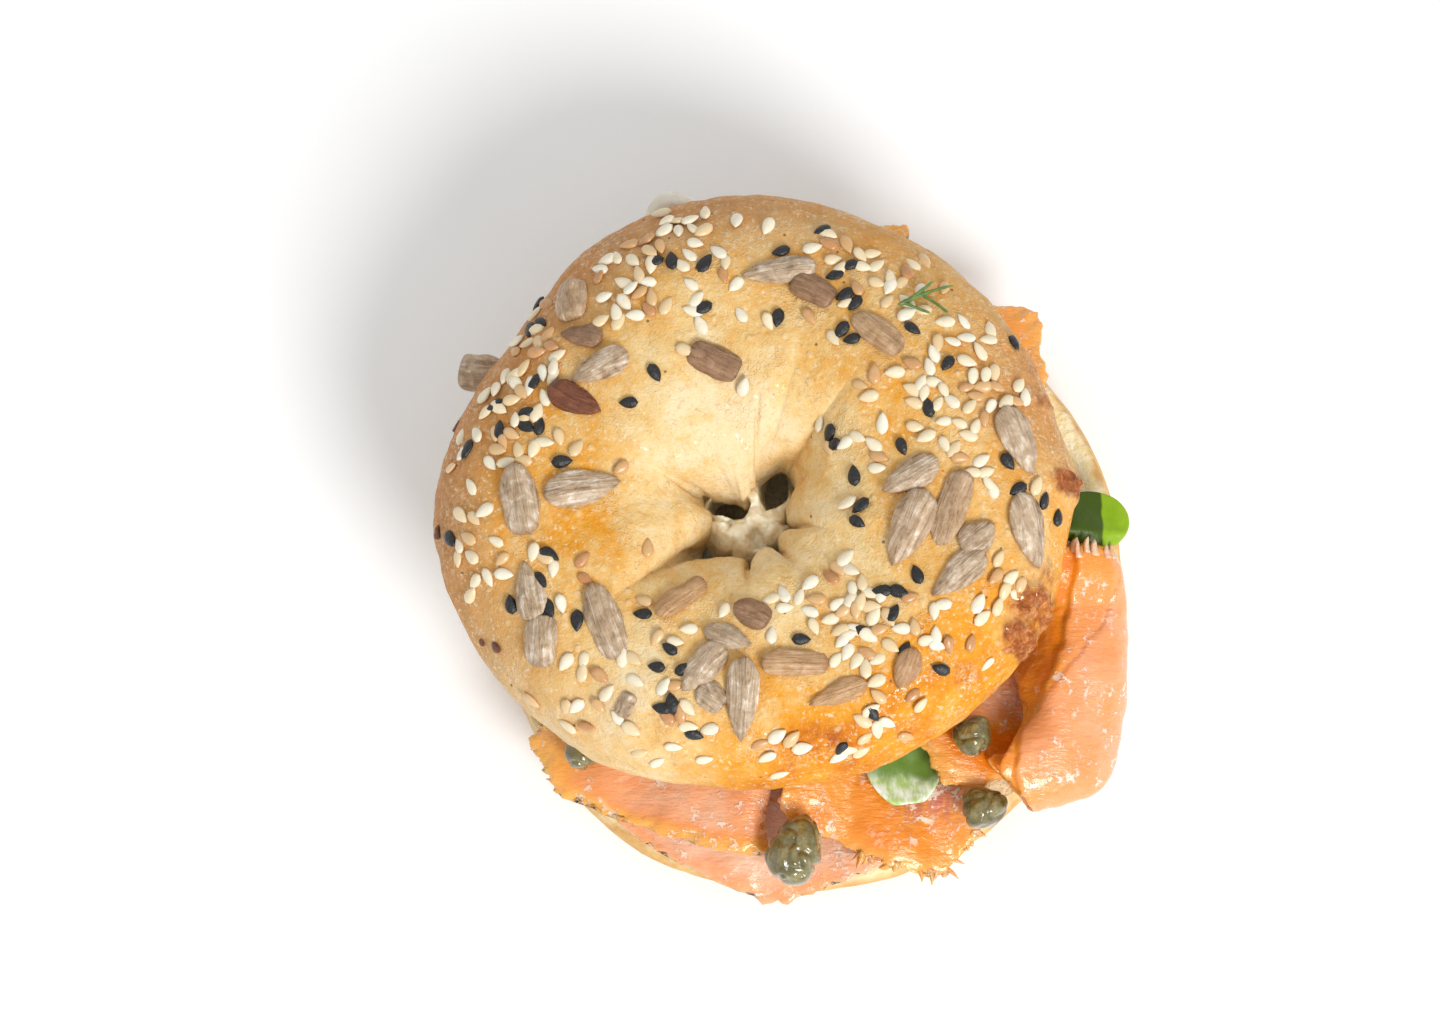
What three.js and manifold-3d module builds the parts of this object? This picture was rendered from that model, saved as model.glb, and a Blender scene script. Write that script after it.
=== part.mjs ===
// A seeded bagel sandwich: two halves of a ring-shaped roll with smoked salmon, capers,
// leaves and cream cheese between them. Millimetres, +Z up, the base stands on z = 0 and the
// origin is under the middle of the whole. Azimuths are in degrees from +X towards +Y.
import * as THREE from "three";
import { mergeVertices } from "three/addons/utils/BufferGeometryUtils.js";
import Module from "manifold-3d";

const { clamp, degToRad, euclideanModulo, lerp, smoothstep } = THREE.MathUtils;
const wasm = await Module();
wasm.setup();

// Driving dimensions
const GAP = 0.3; // air kept between neighbours that touch
const MIDDLE = [1.83, -1.276]; // the middle of the whole in plan, which goes over the origin

const HEEL = {
  // the bottom half
  centre: [4, -5.7],
  radius: 51.3,
  height: 16,
  holeRadius: 9.5,
  holeFlare: 4,
  depth: 17.6, // of the rounded underside before its flat base cuts it off
  sides: 48,
};

const LID = {
  // the top half, measured from the middle of its pinched hole
  centre: [-3.3, 0.4],
  height: 21,
  widest: 5, // height of the widest line above the cut
  tuck: 1.8, // how far the crust draws in below that line
  crownShare: 0.55,
  outerPower: 2.3,
  innerPower: 2.4,
  lip: { azimuth: 275, width: 75, power: 0.9 }, // the side where the crust rounds in more sharply
  sides: 72,
  cutHeight: 28.4, // of the cut face at the hole
  rise: [0.03, -0.045], // the lid leans: its cut face climbs towards +X and -Y
  // outline and hole, every 20 degrees from +X
  radii: [
    50.2, 51, 51.6, 51.7, 52.2, 53, 51.4, 48.2, 49.2, 50.3, 48.3, 46.4, 45, 43, 43.3, 44.7, 46.8, 49.4,
  ],
  holeRadii: [5.9, 7.2, 9, 9.4, 4.2, 2.6, 3.6, 5.6, 7.2, 5.7, 6.8, 9.2, 7.6, 6.4, 6.2, 5.8, 6, 5.9],
  burst: { azimuth: 5, width: 7, swell: 1.6 },
};

// The dough's pinch lines, which run out of the hole, and the puckered lobes between them.
const CREASES = [
  { azimuth: 50, depth: 3.2, reach: 11 },
  { azimuth: 70, depth: 2.2, reach: 12 },
  { azimuth: 155, depth: 2.8, reach: 7 },
  { azimuth: 215, depth: 4.2, reach: 9 },
  { azimuth: 275, depth: 2, reach: 5 },
  { azimuth: 310, depth: 1.8, reach: 5 },
  { azimuth: 345, depth: 1.2, reach: 6 },
];
const CREASE_WIDTH = { atHole: 1.2, spread: 0.12, lobeShare: 0.5 };

// A closed mesh as a solid that can be joined and cut, and back.
function solidOf(geometry) {
  const bare = new THREE.BufferGeometry()
    .setAttribute("position", geometry.getAttribute("position"))
    .setIndex(geometry.index);
  const merged = mergeVertices(bare, 1e-4);
  return new wasm.Manifold(
    new wasm.Mesh({
      numProp: 3,
      vertProperties: new Float32Array(merged.attributes.position.array),
      triVerts: new Uint32Array(merged.index.array),
    }),
  );
}

function geometryOf(solid) {
  const { numProp, vertProperties, triVerts } = solid.getMesh();
  const positions = new Float32Array((vertProperties.length / numProp) * 3);
  for (let i = 0; i < positions.length / 3; i++) {
    positions.set(vertProperties.subarray(i * numProp, i * numProp + 3), i * 3);
  }
  return new THREE.BufferGeometry()
    .setAttribute("position", new THREE.BufferAttribute(positions, 3))
    .setIndex(new THREE.BufferAttribute(triVerts, 1));
}

// The largest single body of a solid, with its sealed hollows filled.
function wholeBody(solid) {
  return solid.decompose().reduce((best, body) => (body.volume() > best.volume() ? body : best));
}

// A geometry from points [x, y, z] and faces given as triangles or quads.
function meshOf(points, faces) {
  const index = faces.flatMap(([a, b, c, d]) => (d === undefined ? [a, b, c] : [a, b, c, a, c, d]));
  return new THREE.BufferGeometry()
    .setAttribute("position", new THREE.Float32BufferAttribute(points.flat(), 3))
    .setIndex(index);
}

// A smooth closed curve through evenly spaced values round the circle.
function roundCurve(values, azimuth) {
  const place = euclideanModulo(azimuth / 360, 1) * values.length;
  const start = Math.floor(place);
  const t = place - start;
  const [a, b, c, d] = [-1, 0, 1, 2].map((step) => values[euclideanModulo(start + step, values.length)]);
  return b + 0.5 * t * (c - a + t * (2 * a - 5 * b + 4 * c - d + t * (3 * (b - c) + d - a)));
}

const turnBetween = (a, b) => euclideanModulo(a - b + 180, 360) - 180;
const bell = (x) => Math.exp(-x * x);

// A ring whose section, a list of [radius, height], changes round the circle.
function ringGeometry(sides, sectionAt) {
  const sections = Array.from({ length: sides }, (_, i) => sectionAt((i * 360) / sides));
  const count = sections[0].length;
  const points = sections.flatMap((section, i) => {
    const turn = (i * 2 * Math.PI) / sides;
    return section.map(([r, z]) => [r * Math.cos(turn), r * Math.sin(turn), z]);
  });
  const faces = [];
  for (let i = 0; i < sides; i++) {
    for (let j = 0; j < count; j++) {
      const next = ((i + 1) % sides) * count;
      const up = (j + 1) % count;
      faces.push([i * count + j, next + j, next + up, i * count + up]);
    }
  }
  return meshOf(points, faces);
}

// Bottom half: a flat base, a rounded crust and a level cut face
function heelRadius(azimuth) {
  const turn = degToRad(azimuth);
  return HEEL.radius + 0.5 * Math.sin(3 * turn + 1) + 0.35 * Math.sin(5 * turn);
}

function heelSection(azimuth) {
  const outer = heelRadius(azimuth);
  const inner = HEEL.holeRadius + 0.5 * Math.sin(2 * degToRad(azimuth));
  const middle = (outer + inner + HEEL.holeFlare) / 2;
  const section = [];
  for (const angle of [8, 0, -14, -28, -42, -56, -72, -108, -126, -145, -163, -180]) {
    const turn = degToRad(angle);
    const half = Math.cos(turn) > 0 ? outer - middle : middle - inner;
    const across = Math.sign(Math.cos(turn)) * Math.abs(Math.cos(turn)) ** 0.8;
    const down = Math.sign(-Math.sin(turn)) * Math.abs(Math.sin(turn)) ** 0.8;
    const height = clamp(HEEL.height - 5 - (HEEL.depth - 5) * down, 0, HEEL.height);
    section.push([middle + half * across, height]);
  }
  section[0] = [outer - 1, HEEL.height];
  section.push([inner, HEEL.height]);
  return section.reverse();
}

// Top half: the crust's height over its cut face at a plan point, and the body under it
function lidOutline(azimuth) {
  const { azimuth: at, width, swell } = LID.burst;
  return roundCurve(LID.radii, azimuth) + swell * bell(turnBetween(azimuth, at) / width);
}

function pinch(azimuth, radius, outFromHole) {
  let after = CREASES.findIndex((crease) => crease.azimuth > euclideanModulo(azimuth, 360));
  after = after < 0 ? 0 : after;
  const before = after ? after - 1 : CREASES.length - 1;
  const span = euclideanModulo(CREASES[after].azimuth - CREASES[before].azimuth, 360);
  const t = euclideanModulo(azimuth - CREASES[before].azimuth, 360) / span;
  const depth = lerp(CREASES[before].depth, CREASES[after].depth, t);
  const reach = lerp(CREASES[before].reach, CREASES[after].reach, t);
  const arc = degToRad(span * Math.min(t, 1 - t)) * radius;
  const groove = Math.exp(-arc / (CREASE_WIDTH.atHole + CREASE_WIDTH.spread * outFromHole));
  const betweenLobes = CREASE_WIDTH.lobeShare * (1 - 2 * Math.sqrt(t * (1 - t)));
  return depth * bell(outFromHole / reach) * (groove + betweenLobes);
}

function lumps(radius, azimuth) {
  const turn = degToRad(azimuth);
  const broad = 0.45 * Math.sin(3 * turn + 0.7);
  const finer = 0.35 * Math.sin(5 * turn + radius / 8) + 0.2 * Math.sin(9 * turn - radius / 5);
  return broad + finer;
}

function crustHeight(radius, azimuth) {
  const outer = lidOutline(azimuth);
  const inner = roundCurve(LID.holeRadii, azimuth);
  const crown = lerp(inner, outer, LID.crownShare);
  if (radius >= crown) {
    const x = clamp((radius - crown) / (outer - crown), 0, 1);
    const rise = (1 - x ** LID.outerPower) ** (1 / LID.outerPower);
    return LID.widest + (LID.height - LID.widest + lumps(radius, azimuth)) * rise;
  }
  const x = clamp((crown - radius) / (crown - inner), 0, 1);
  const { azimuth: at, width, power } = LID.lip;
  const roundness = LID.innerPower + power * bell(turnBetween(azimuth, at) / width);
  const rise = (1 - x ** roundness) ** (1 / roundness);
  return (LID.height + lumps(radius, azimuth) - pinch(azimuth, radius, radius - inner)) * rise;
}

function lidSection(azimuth) {
  const outer = lidOutline(azimuth);
  const inner = roundCurve(LID.holeRadii, azimuth);
  const crown = lerp(inner, outer, LID.crownShare);
  const onCrust = (radius) => [radius, Math.max(crustHeight(radius, azimuth), 0.8)];
  const section = [[outer - LID.tuck, 0], [outer - 0.5, LID.widest * 0.45]];
  for (const angle of [0, 20, 36, 52, 70]) {
    section.push(onCrust(crown + (outer - crown) * Math.cos(degToRad(angle))));
  }
  for (const angle of [90, 108, 124, 138, 150, 161, 171]) {
    section.push(onCrust(crown + (crown - inner) * Math.cos(degToRad(angle))));
  }
  section.push([inner, 1.2], [inner + 0.6, 0]);
  return section;
}

// Seeds, placed on the crust by plan point and heading
const CAD_SESAME_STEP = 4; // one in so many of the small seeds is modelled
const SUNK = 0.3; // share of a seed's thickness that is in the crust

// Sunflower kernels: plan point from the hole's middle, heading of the pointed end, length, width.
const KERNELS = [
  [-27.2, 33.6, 100, 7.4, 5.4],
  [-25.4, 27.4, 165, 7.4, 4],
  [-22.4, 22.2, 205, 10, 4.8],
  [-26.4, 17.2, 335, 9.4, 4.8],
  [-4.6, 23, 335, 8.4, 4.8],
  [5.6, 37.4, 188, 12, 4.6],
  [11, 34.2, 330, 7.2, 4.6],
  [21, 26.8, 320, 9.6, 4.6],
  [-34.8, 1.4, 280, 11.4, 6],
  [-25.2, 3, 10, 12.2, 5.8],
  [-33.2, -13, 100, 9.6, 5],
  [-31.2, -20.8, 265, 8, 5.2],
  [-21.4, -18, 290, 12.4, 5.6],
  [-9.8, -14.6, 40, 9.6, 4],
  [1.4, -17.2, 330, 6.2, 4.6],
  [-2.2, -20.8, 340, 8, 4],
  [-6, -25.6, 230, 9.8, 5],
  [-4.8, -30, 320, 5, 4.4],
  [0, -30.4, 268, 13.2, 5.4],
  [8, -25, 0, 10.2, 4.2],
  [14.6, -29.6, 200, 9.6, 3.6],
  [25.2, -25.8, 250, 6.8, 4.4],
  [26, 4, 210, 10, 5.2],
  [25.8, -4.2, 245, 13, 6.6],
  [32.2, -1.2, 70, 12.2, 5],
  [36.2, -5.6, 40, 6.6, 5.2],
  [33.2, -11.4, 220, 10.6, 5.2],
  [42.4, 9.6, 300, 11.6, 5.8],
  [43.8, -4.2, 290, 12.4, 6],
  [-18, -31, 60, 4, 3],
  [-43.4, 24.6, 170, 7, 6.4],
];

// Scattered sesame: plan point, spread, how many pale ones and how many black ones.
const SESAME_PATCHES = [
  [-9, 46, 6, 9, 0],
  [-20, 36, 8, 16, 3],
  [-32, 28, 6, 14, 5],
  [-35, 15, 8, 34, 9],
  [-42, 8, 6, 10, 2],
  [-40, -7, 8, 16, 3],
  [-30, -14, 8, 8, 5],
  [-24, -26, 10, 14, 3],
  [-13, -20, 7, 5, 4],
  [-10, -34, 8, 11, 3],
  [-6, 34, 7, 12, 4],
  [3, 45, 8, 6, 1],
  [15, 38, 7, 13, 5],
  [27, 34, 6, 12, 1],
  [33, 22, 8, 24, 4],
  [38, 8, 7, 20, 4],
  [23, 14, 9, 12, 3],
  [16, 3, 7, 7, 4],
  [12, -16, 9, 40, 6],
  [21, -20, 8, 22, 4],
  [20, -30, 9, 20, 3],
  [38, -14, 6, 15, 0],
  [6, -31, 9, 14, 1],
  [-4, -13, 7, 7, 0],
  [8, -38, 8, 8, 0],
  [0, 0, 45, 30, 5],
];
const SESAME = { length: 3.2, width: 2, thickness: 1.1, spacing: 1.75, bare: 15 };
const KERNEL_THICKNESS = 0.56; // share of its width

// A repeatable draw from 0 to 1.
function drawFrom(seed) {
  let state = seed;
  return () => {
    state = (state * 1664525 + 1013904223) % 4294967296;
    return state / 4294967296;
  };
}

function sesameSeeds() {
  const draw = drawFrom(7);
  const seeds = [];
  for (const [x, y, spread, pale, black] of SESAME_PATCHES) {
    for (let i = 0; i < pale + black; i++) {
      const out = spread * Math.sqrt(draw());
      const turn = 2 * Math.PI * draw();
      const heading = 360 * draw();
      const size = 0.88 + 0.24 * draw();
      const place = [x + out * Math.cos(turn), y + out * Math.sin(turn)];
      const radius = Math.hypot(...place);
      const edge = lidOutline(THREE.MathUtils.radToDeg(Math.atan2(place[1], place[0]))) - 1.5;
      const gapTo = (seed) => Math.hypot(seed.x - place[0], seed.y - place[1]);
      const clear = seeds.every((seed) => gapTo(seed) > SESAME.spacing);
      if (radius > SESAME.bare && radius < edge && clear) {
        seeds.push({ x: place[0], y: place[1], heading, size, black: i >= pale });
      }
    }
  }
  return seeds;
}

// The frame of a seed that lies on the crust: its length along X, the crust's normal along Z.
function restingFrame(x, y, heading, sink) {
  const azimuthOf = (px, py) => THREE.MathUtils.radToDeg(Math.atan2(py, px));
  const height = (px, py) => crustHeight(Math.hypot(px, py), azimuthOf(px, py));
  const step = 0.4;
  const slopeX = clamp((height(x + step, y) - height(x - step, y)) / (2 * step), -4, 4);
  const slopeY = clamp((height(x, y + step) - height(x, y - step)) / (2 * step), -4, 4);
  const normal = new THREE.Vector3(-slopeX, -slopeY, 1).normalize();
  const along = new THREE.Vector3(Math.cos(degToRad(heading)), Math.sin(degToRad(heading)), 0);
  along.addScaledVector(normal, -along.dot(normal)).normalize();
  const across = new THREE.Vector3().crossVectors(normal, along);
  const place = new THREE.Vector3(x, y, height(x, y)).addScaledVector(normal, sink);
  return new THREE.Matrix4().makeBasis(along, across, normal).setPosition(place);
}

// A seed with its pointed end at +X: rings of the given sizes between two tips.
function seedGeometry(length, width, thickness, sides, rings) {
  const points = [[-length / 2, 0, 0]];
  for (const [along, size] of rings) {
    for (let i = 0; i < sides; i++) {
      const turn = (2 * Math.PI * i) / sides;
      const [across, high] = [Math.cos(turn) * width, Math.sin(turn) * thickness];
      points.push([along * length, (across * size) / 2, (high * size) / 2]);
    }
  }
  points.push([length / 2, 0, 0]);
  const tip = points.length - 1;
  const faces = [];
  for (let i = 0; i < sides; i++) {
    const next = (i + 1) % sides;
    faces.push([0, 1 + next, 1 + i]);
    for (let ring = 0; ring < rings.length - 1; ring++) {
      const low = 1 + ring * sides;
      faces.push([low + i, low + next, low + sides + next, low + sides + i]);
    }
    faces.push([tip - sides + i, tip - sides + next, tip]);
  }
  return meshOf(points, faces);
}

function lidWithSeeds() {
  const parts = [solidOf(ringGeometry(LID.sides, lidSection))];
  const add = (geometry, frame) => parts.push(solidOf(geometry.applyMatrix4(frame)));
  for (const [x, y, heading, length, width] of KERNELS) {
    const thickness = width * KERNEL_THICKNESS;
    const kernel = seedGeometry(length, width, thickness, 7, [[-0.34, 0.72], [-0.05, 1], [0.28, 0.68]]);
    add(kernel, restingFrame(x, y, heading, thickness * (0.5 - SUNK)));
  }
  const clearOfKernels = ({ x, y }) =>
    KERNELS.every(([kernelX, kernelY, , length]) => Math.hypot(x - kernelX, y - kernelY) > length / 2);
  const modelled = sesameSeeds().filter(clearOfKernels).filter((_, i) => i % CAD_SESAME_STEP === 0);
  for (const { x, y, heading, size } of modelled) {
    const [length, width, thickness] = [SESAME.length, SESAME.width, SESAME.thickness].map((s) => s * size);
    const seed = seedGeometry(length, width, thickness, 5, [[-0.24, 0.9], [0.16, 0.8]]);
    add(seed, restingFrame(x, y, heading, thickness * (0.5 - SUNK)));
  }
  return geometryOf(wholeBody(wasm.Manifold.union(parts)));
}

const cutHeight = (x, y) =>
  LID.cutHeight + LID.rise[0] * (x - LID.centre[0]) + LID.rise[1] * (y - LID.centre[1]);

// What is piled up so far, as heights on a square grid
const GRID = { half: 66, step: 1, floor: 0 };
const gridCount = Math.round((2 * GRID.half) / GRID.step) + 1;
const gridPlace = (i) => -GRID.half + i * GRID.step;
const pile = new Float64Array(gridCount * gridCount).fill(GRID.floor);

function pileUp(geometry) {
  const position = geometry.getAttribute("position");
  const at = (i) => new THREE.Vector3().fromBufferAttribute(position, geometry.index.getX(i));
  for (let i = 0; i < geometry.index.count; i += 3) {
    const triangle = new THREE.Triangle(at(i), at(i + 1), at(i + 2));
    const box = new THREE.Box3().setFromPoints([triangle.a, triangle.b, triangle.c]);
    const firstCell = (v) => Math.max(0, Math.ceil((v + GRID.half) / GRID.step));
    const lastCell = (v) => Math.min(gridCount - 1, Math.floor((v + GRID.half) / GRID.step));
    const low = [firstCell(box.min.x), firstCell(box.min.y)];
    const high = [lastCell(box.max.x), lastCell(box.max.y)];
    const { a, b, c } = triangle;
    const area = (b.x - a.x) * (c.y - a.y) - (c.x - a.x) * (b.y - a.y);
    if (Math.abs(area) < 1e-9) continue;
    for (let row = low[1]; row <= high[1]; row++) {
      for (let column = low[0]; column <= high[0]; column++) {
        const [x, y] = [gridPlace(column), gridPlace(row)];
        const v = ((x - a.x) * (c.y - a.y) - (c.x - a.x) * (y - a.y)) / area;
        const w = ((b.x - a.x) * (y - a.y) - (x - a.x) * (b.y - a.y)) / area;
        if (v < -0.01 || w < -0.01 || v + w > 1.01) continue;
        const cell = row * gridCount + column;
        pile[cell] = Math.max(pile[cell], a.z + v * (b.z - a.z) + w * (c.z - a.z));
      }
    }
  }
}

// The surface on which a soft slice comes to lie: the pile with a margin, never steeper than the
// slope, so that the slice bridges hollows and hangs a little past the rim.
function blanket(slope, margin = 2) {
  let heights = pile.slice();
  const spread = (reach, fall) => {
    const out = heights.slice();
    for (let row = 0; row < gridCount; row++) {
      for (let column = 0; column < gridCount; column++) {
        for (let dy = -reach; dy <= reach; dy++) {
          for (let dx = -reach; dx <= reach; dx++) {
            const [r, c] = [row + dy, column + dx];
            if (r < 0 || c < 0 || r >= gridCount || c >= gridCount) continue;
            const away = Math.hypot(dx, dy);
            if (away > reach + 0.1) continue;
            const cell = row * gridCount + column;
            out[cell] = Math.max(out[cell], heights[r * gridCount + c] - fall * away * GRID.step);
          }
        }
      }
    }
    heights = out;
  };
  spread(margin, 0);
  for (let pass = 0; pass < 5; pass++) {
    spread(3, slope);
  }
  return (x, y) => {
    const column = clamp((x + GRID.half) / GRID.step, 0, gridCount - 1.001);
    const row = clamp((y + GRID.half) / GRID.step, 0, gridCount - 1.001);
    const [c, r] = [Math.floor(column), Math.floor(row)];
    const at = (dr, dc) => heights[(r + dr) * gridCount + c + dc];
    return lerp(lerp(at(0, 0), at(0, 1), column - c), lerp(at(1, 0), at(1, 1), column - c), row - r);
  };
}

// A thin closed solid round a middle surface: place(u, v) gives its point and thickness(u, v)
// how thick it is there. Both faces are split into triangles alike.
function sheetGeometry(place, thickness, across, along) {
  const top = [];
  const bottom = [];
  const point = (u, v) => new THREE.Vector3(...place(u, v));
  for (let j = 0; j <= along; j++) {
    for (let i = 0; i <= across; i++) {
      const [u, v, small] = [i / across, j / along, 0.01];
      const du = point(Math.min(u + small, 1), v).sub(point(Math.max(u - small, 0), v));
      const dv = point(u, Math.min(v + small, 1)).sub(point(u, Math.max(v - small, 0)));
      const normal = du.cross(dv).normalize().multiplyScalar(thickness(u, v) / 2);
      top.push(point(u, v).add(normal).toArray());
      bottom.push(point(u, v).sub(normal).toArray());
    }
  }
  const row = across + 1;
  const below = top.length;
  const faces = [];
  for (let j = 0; j < along; j++) {
    for (let i = 0; i < across; i++) {
      const [a, b, c, d] = [j * row + i, j * row + i + 1, (j + 1) * row + i + 1, (j + 1) * row + i];
      faces.push([a, b, c, d], [below + d, below + c, below + b, below + a]);
    }
  }
  const rim = [];
  for (let i = 0; i < across; i++) rim.push(i);
  for (let j = 0; j < along; j++) rim.push(j * row + across);
  for (let i = across; i > 0; i--) rim.push(along * row + i);
  for (let j = along; j > 0; j--) rim.push(j * row);
  rim.forEach((a, k) => {
    const b = rim[(k + 1) % rim.length];
    faces.push([a, below + a, below + b, b]);
  });
  return meshOf([...top, ...bottom], faces);
}

// Salmon slices: soft sheets with thin torn edges, placed by azimuth and radius round the middle of
// the filling
const SLICE = { centre: [3.2, -4.7], thickness: 2.3, thinEdge: 0.4, settle: 8 };

const onRim = (radius, azimuth) => [
  SLICE.centre[0] + radius * Math.cos(degToRad(azimuth)),
  SLICE.centre[1] + radius * Math.sin(degToRad(azimuth)),
];

// The value at t from 0 to 1 along a list of evenly spaced values.
function along(values, t) {
  const place = clamp(t, 0, 1) * (values.length - 1);
  const k = Math.min(Math.floor(place), values.length - 2);
  const step = place - k;
  return lerp(values[k], values[k + 1], step * step * (3 - 2 * step));
}

// How far a slice has run from its fold line and how high it lies over its resting place, after
// some length of it: flap, bend, and the layer that comes back over the flap.
function foldPath(length, flap, hollow) {
  const radius = (SLICE.thickness + hollow) / 2;
  const bend = flap > 0 ? Math.PI * radius : 0;
  if (length < flap) {
    return { run: flap - length, lift: 0 };
  }
  if (length < flap + bend) {
    const angle = (length - flap) / radius;
    return { run: -radius * Math.sin(angle), lift: radius * (1 - Math.cos(angle)) };
  }
  const run = length - flap - bend;
  const over = flap > 0 ? 2 * radius * (1 - smoothstep(run, flap * 0.8, flap + SLICE.settle)) : 0;
  return { run, lift: over };
}

const sliceThickness = (u, v) =>
  SLICE.thickness * lerp(SLICE.thinEdge, 1, smoothstep(Math.min(u, 1 - u, v, 1 - v), 0, 0.2));

// A slice that runs along the rim from one azimuth to another, folded at its start if it has a flap.
function rimSlice({ from, to, inner, outer, ...form }) {
  const { flap = 0, hollow = 0, ruffle = 0.5, lift = [0, 0], cells = [6, 12] } = form;
  const under = blanket(0.55);
  const middle = (inner[0] + outer[0]) / 2;
  const fullRun = degToRad(Math.abs(to - from)) * middle;
  const bend = flap > 0 ? (Math.PI * (SLICE.thickness + hollow)) / 2 : 0;
  const place = (u, v) => {
    const length = v * (flap + bend + fullRun);
    const path = foldPath(length, flap, hollow);
    const azimuth = from + Math.sign(to - from) * THREE.MathUtils.radToDeg(path.run / middle);
    const t = path.run / fullRun;
    const torn = 0.7 * Math.sin(azimuth * 0.9) + 0.4 * Math.sin(azimuth * 2.1 + 1);
    const radius = lerp(along(inner, t) + torn, along(outer, t) + torn * 0.8, u);
    const [x, y] = onRim(radius, azimuth + (t > 0.9 || t < 0.05 ? 1.2 * Math.sin(9 * u + from) : 0));
    const wave = ruffle * (1 + Math.sin(azimuth * 0.2 + 2.4 * u + from)) * 0.5;
    return [x, y, under(x, y) + GAP + SLICE.thickness * 0.62 + path.lift + wave + along(lift, t)];
  };
  return sheetGeometry(place, sliceThickness, ...cells);
}

// A slice that lies across the rim, folded up along its outer edge so that it makes a thick roll.
function rolledSlice({ from, to, fold, flap, hollow, run, cells = [12, 11] }) {
  const under = blanket(0.5);
  const place = (u, v) => {
    const azimuth = lerp(from, to, u);
    const full = along(run, u);
    const space = along(hollow, u);
    const bend = (Math.PI * (SLICE.thickness + space)) / 2;
    const path = foldPath(v * (flap + bend + full), flap, space);
    const torn = 0.8 * Math.sin(azimuth * 1.1) * (v > 0.5 ? v : 0);
    const radius = along(fold, u) - (SLICE.thickness + space) / 2 - path.run + torn;
    const [x, y] = onRim(radius, azimuth);
    const wave = v > 0.5 ? 0.6 * Math.sin(azimuth * 0.22 + 5 * v) : 0;
    return [x, y, under(x, y) + GAP + SLICE.thickness * 0.62 + path.lift + wave];
  };
  return sheetGeometry(place, sliceThickness, ...cells);
}

// Capers: pickled flower buds, round with a drawn-out tip and overlapping petals
function caperGeometry(length, width) {
  const sides = 10;
  const rings = [0.12, 0.26, 0.42, 0.58, 0.74, 0.9];
  const points = [[-length / 2, 0, 0]];
  for (const t of rings) {
    for (let i = 0; i < sides; i++) {
      const turn = (2 * Math.PI * i) / sides;
      const petal = 1 + 0.06 * Math.sin(3 * turn + 4 * t);
      const size = (width / 2) * Math.sin(Math.PI * t ** 0.8) ** 0.62 * petal;
      points.push([(t - 0.5) * length, Math.cos(turn) * size, Math.sin(turn) * size]);
    }
  }
  points.push([length / 2, 0, 0]);
  const tip = points.length - 1;
  const faces = [];
  for (let i = 0; i < sides; i++) {
    const next = (i + 1) % sides;
    faces.push([0, 1 + next, 1 + i], [tip - sides + i, tip - sides + next, tip]);
    for (let ring = 0; ring < rings.length - 1; ring++) {
      const low = 1 + ring * sides;
      faces.push([low + i, low + next, low + sides + next, low + sides + i]);
    }
  }
  return meshOf(points, faces);
}

function restCaper({ at: [x, y], heading, length, width, tilt = 0 }) {
  const under = blanket(6, 1);
  const frame = new THREE.Matrix4()
    .makeRotationZ(degToRad(heading))
    .multiply(new THREE.Matrix4().makeRotationY(degToRad(tilt)));
  const geometry = caperGeometry(length, width).applyMatrix4(frame);
  const position = geometry.getAttribute("position");
  let drop = -Infinity;
  for (let i = 0; i < position.count; i++) {
    drop = Math.max(drop, under(x + position.getX(i), y + position.getY(i)) + GAP - position.getZ(i));
  }
  return geometry.translate(x, y, drop);
}

// Leaves: a stalk end, a rounded blade and a slight cup
function leafGeometry({ from, to, halfWidth, cup, thickness = 0.8, slope = 0.6 }) {
  const under = blanket(slope);
  const way = [to[0] - from[0], to[1] - from[1]];
  const length = Math.hypot(...way);
  const place = (u, v) => {
    const side = 2 * u - 1;
    const half = halfWidth * Math.sin(Math.PI * (0.07 + 0.87 * v)) ** 0.55;
    const x = from[0] + way[0] * v - (way[1] / length) * half * side;
    const y = from[1] + way[1] * v + (way[0] / length) * half * side;
    const wave = cup * side * side + 0.3 * Math.sin(7 * v + 3 * side);
    return [x, y, under(x, y) + GAP + thickness * 0.5 + 0.35 + wave];
  };
  return sheetGeometry(place, () => thickness, 6, 7);
}

// Cream cheese: spread under the lid down to the filling, with a web left across the hole
const CHEESE = { inset: 3, sides: 36, rings: 6, thickness: 8, least: 0.7, web: 1.2, spare: 1 };
const CHEESE_OOZE = { azimuth: 103, width: 7, out: 9.5 };
const WEB_OPENINGS = [
  { at: [-3, 2.4], size: [5, 3.2], turn: -12 },
  { at: [3.9, 6], size: [3.2, 6.6], turn: -8 },
];

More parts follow.
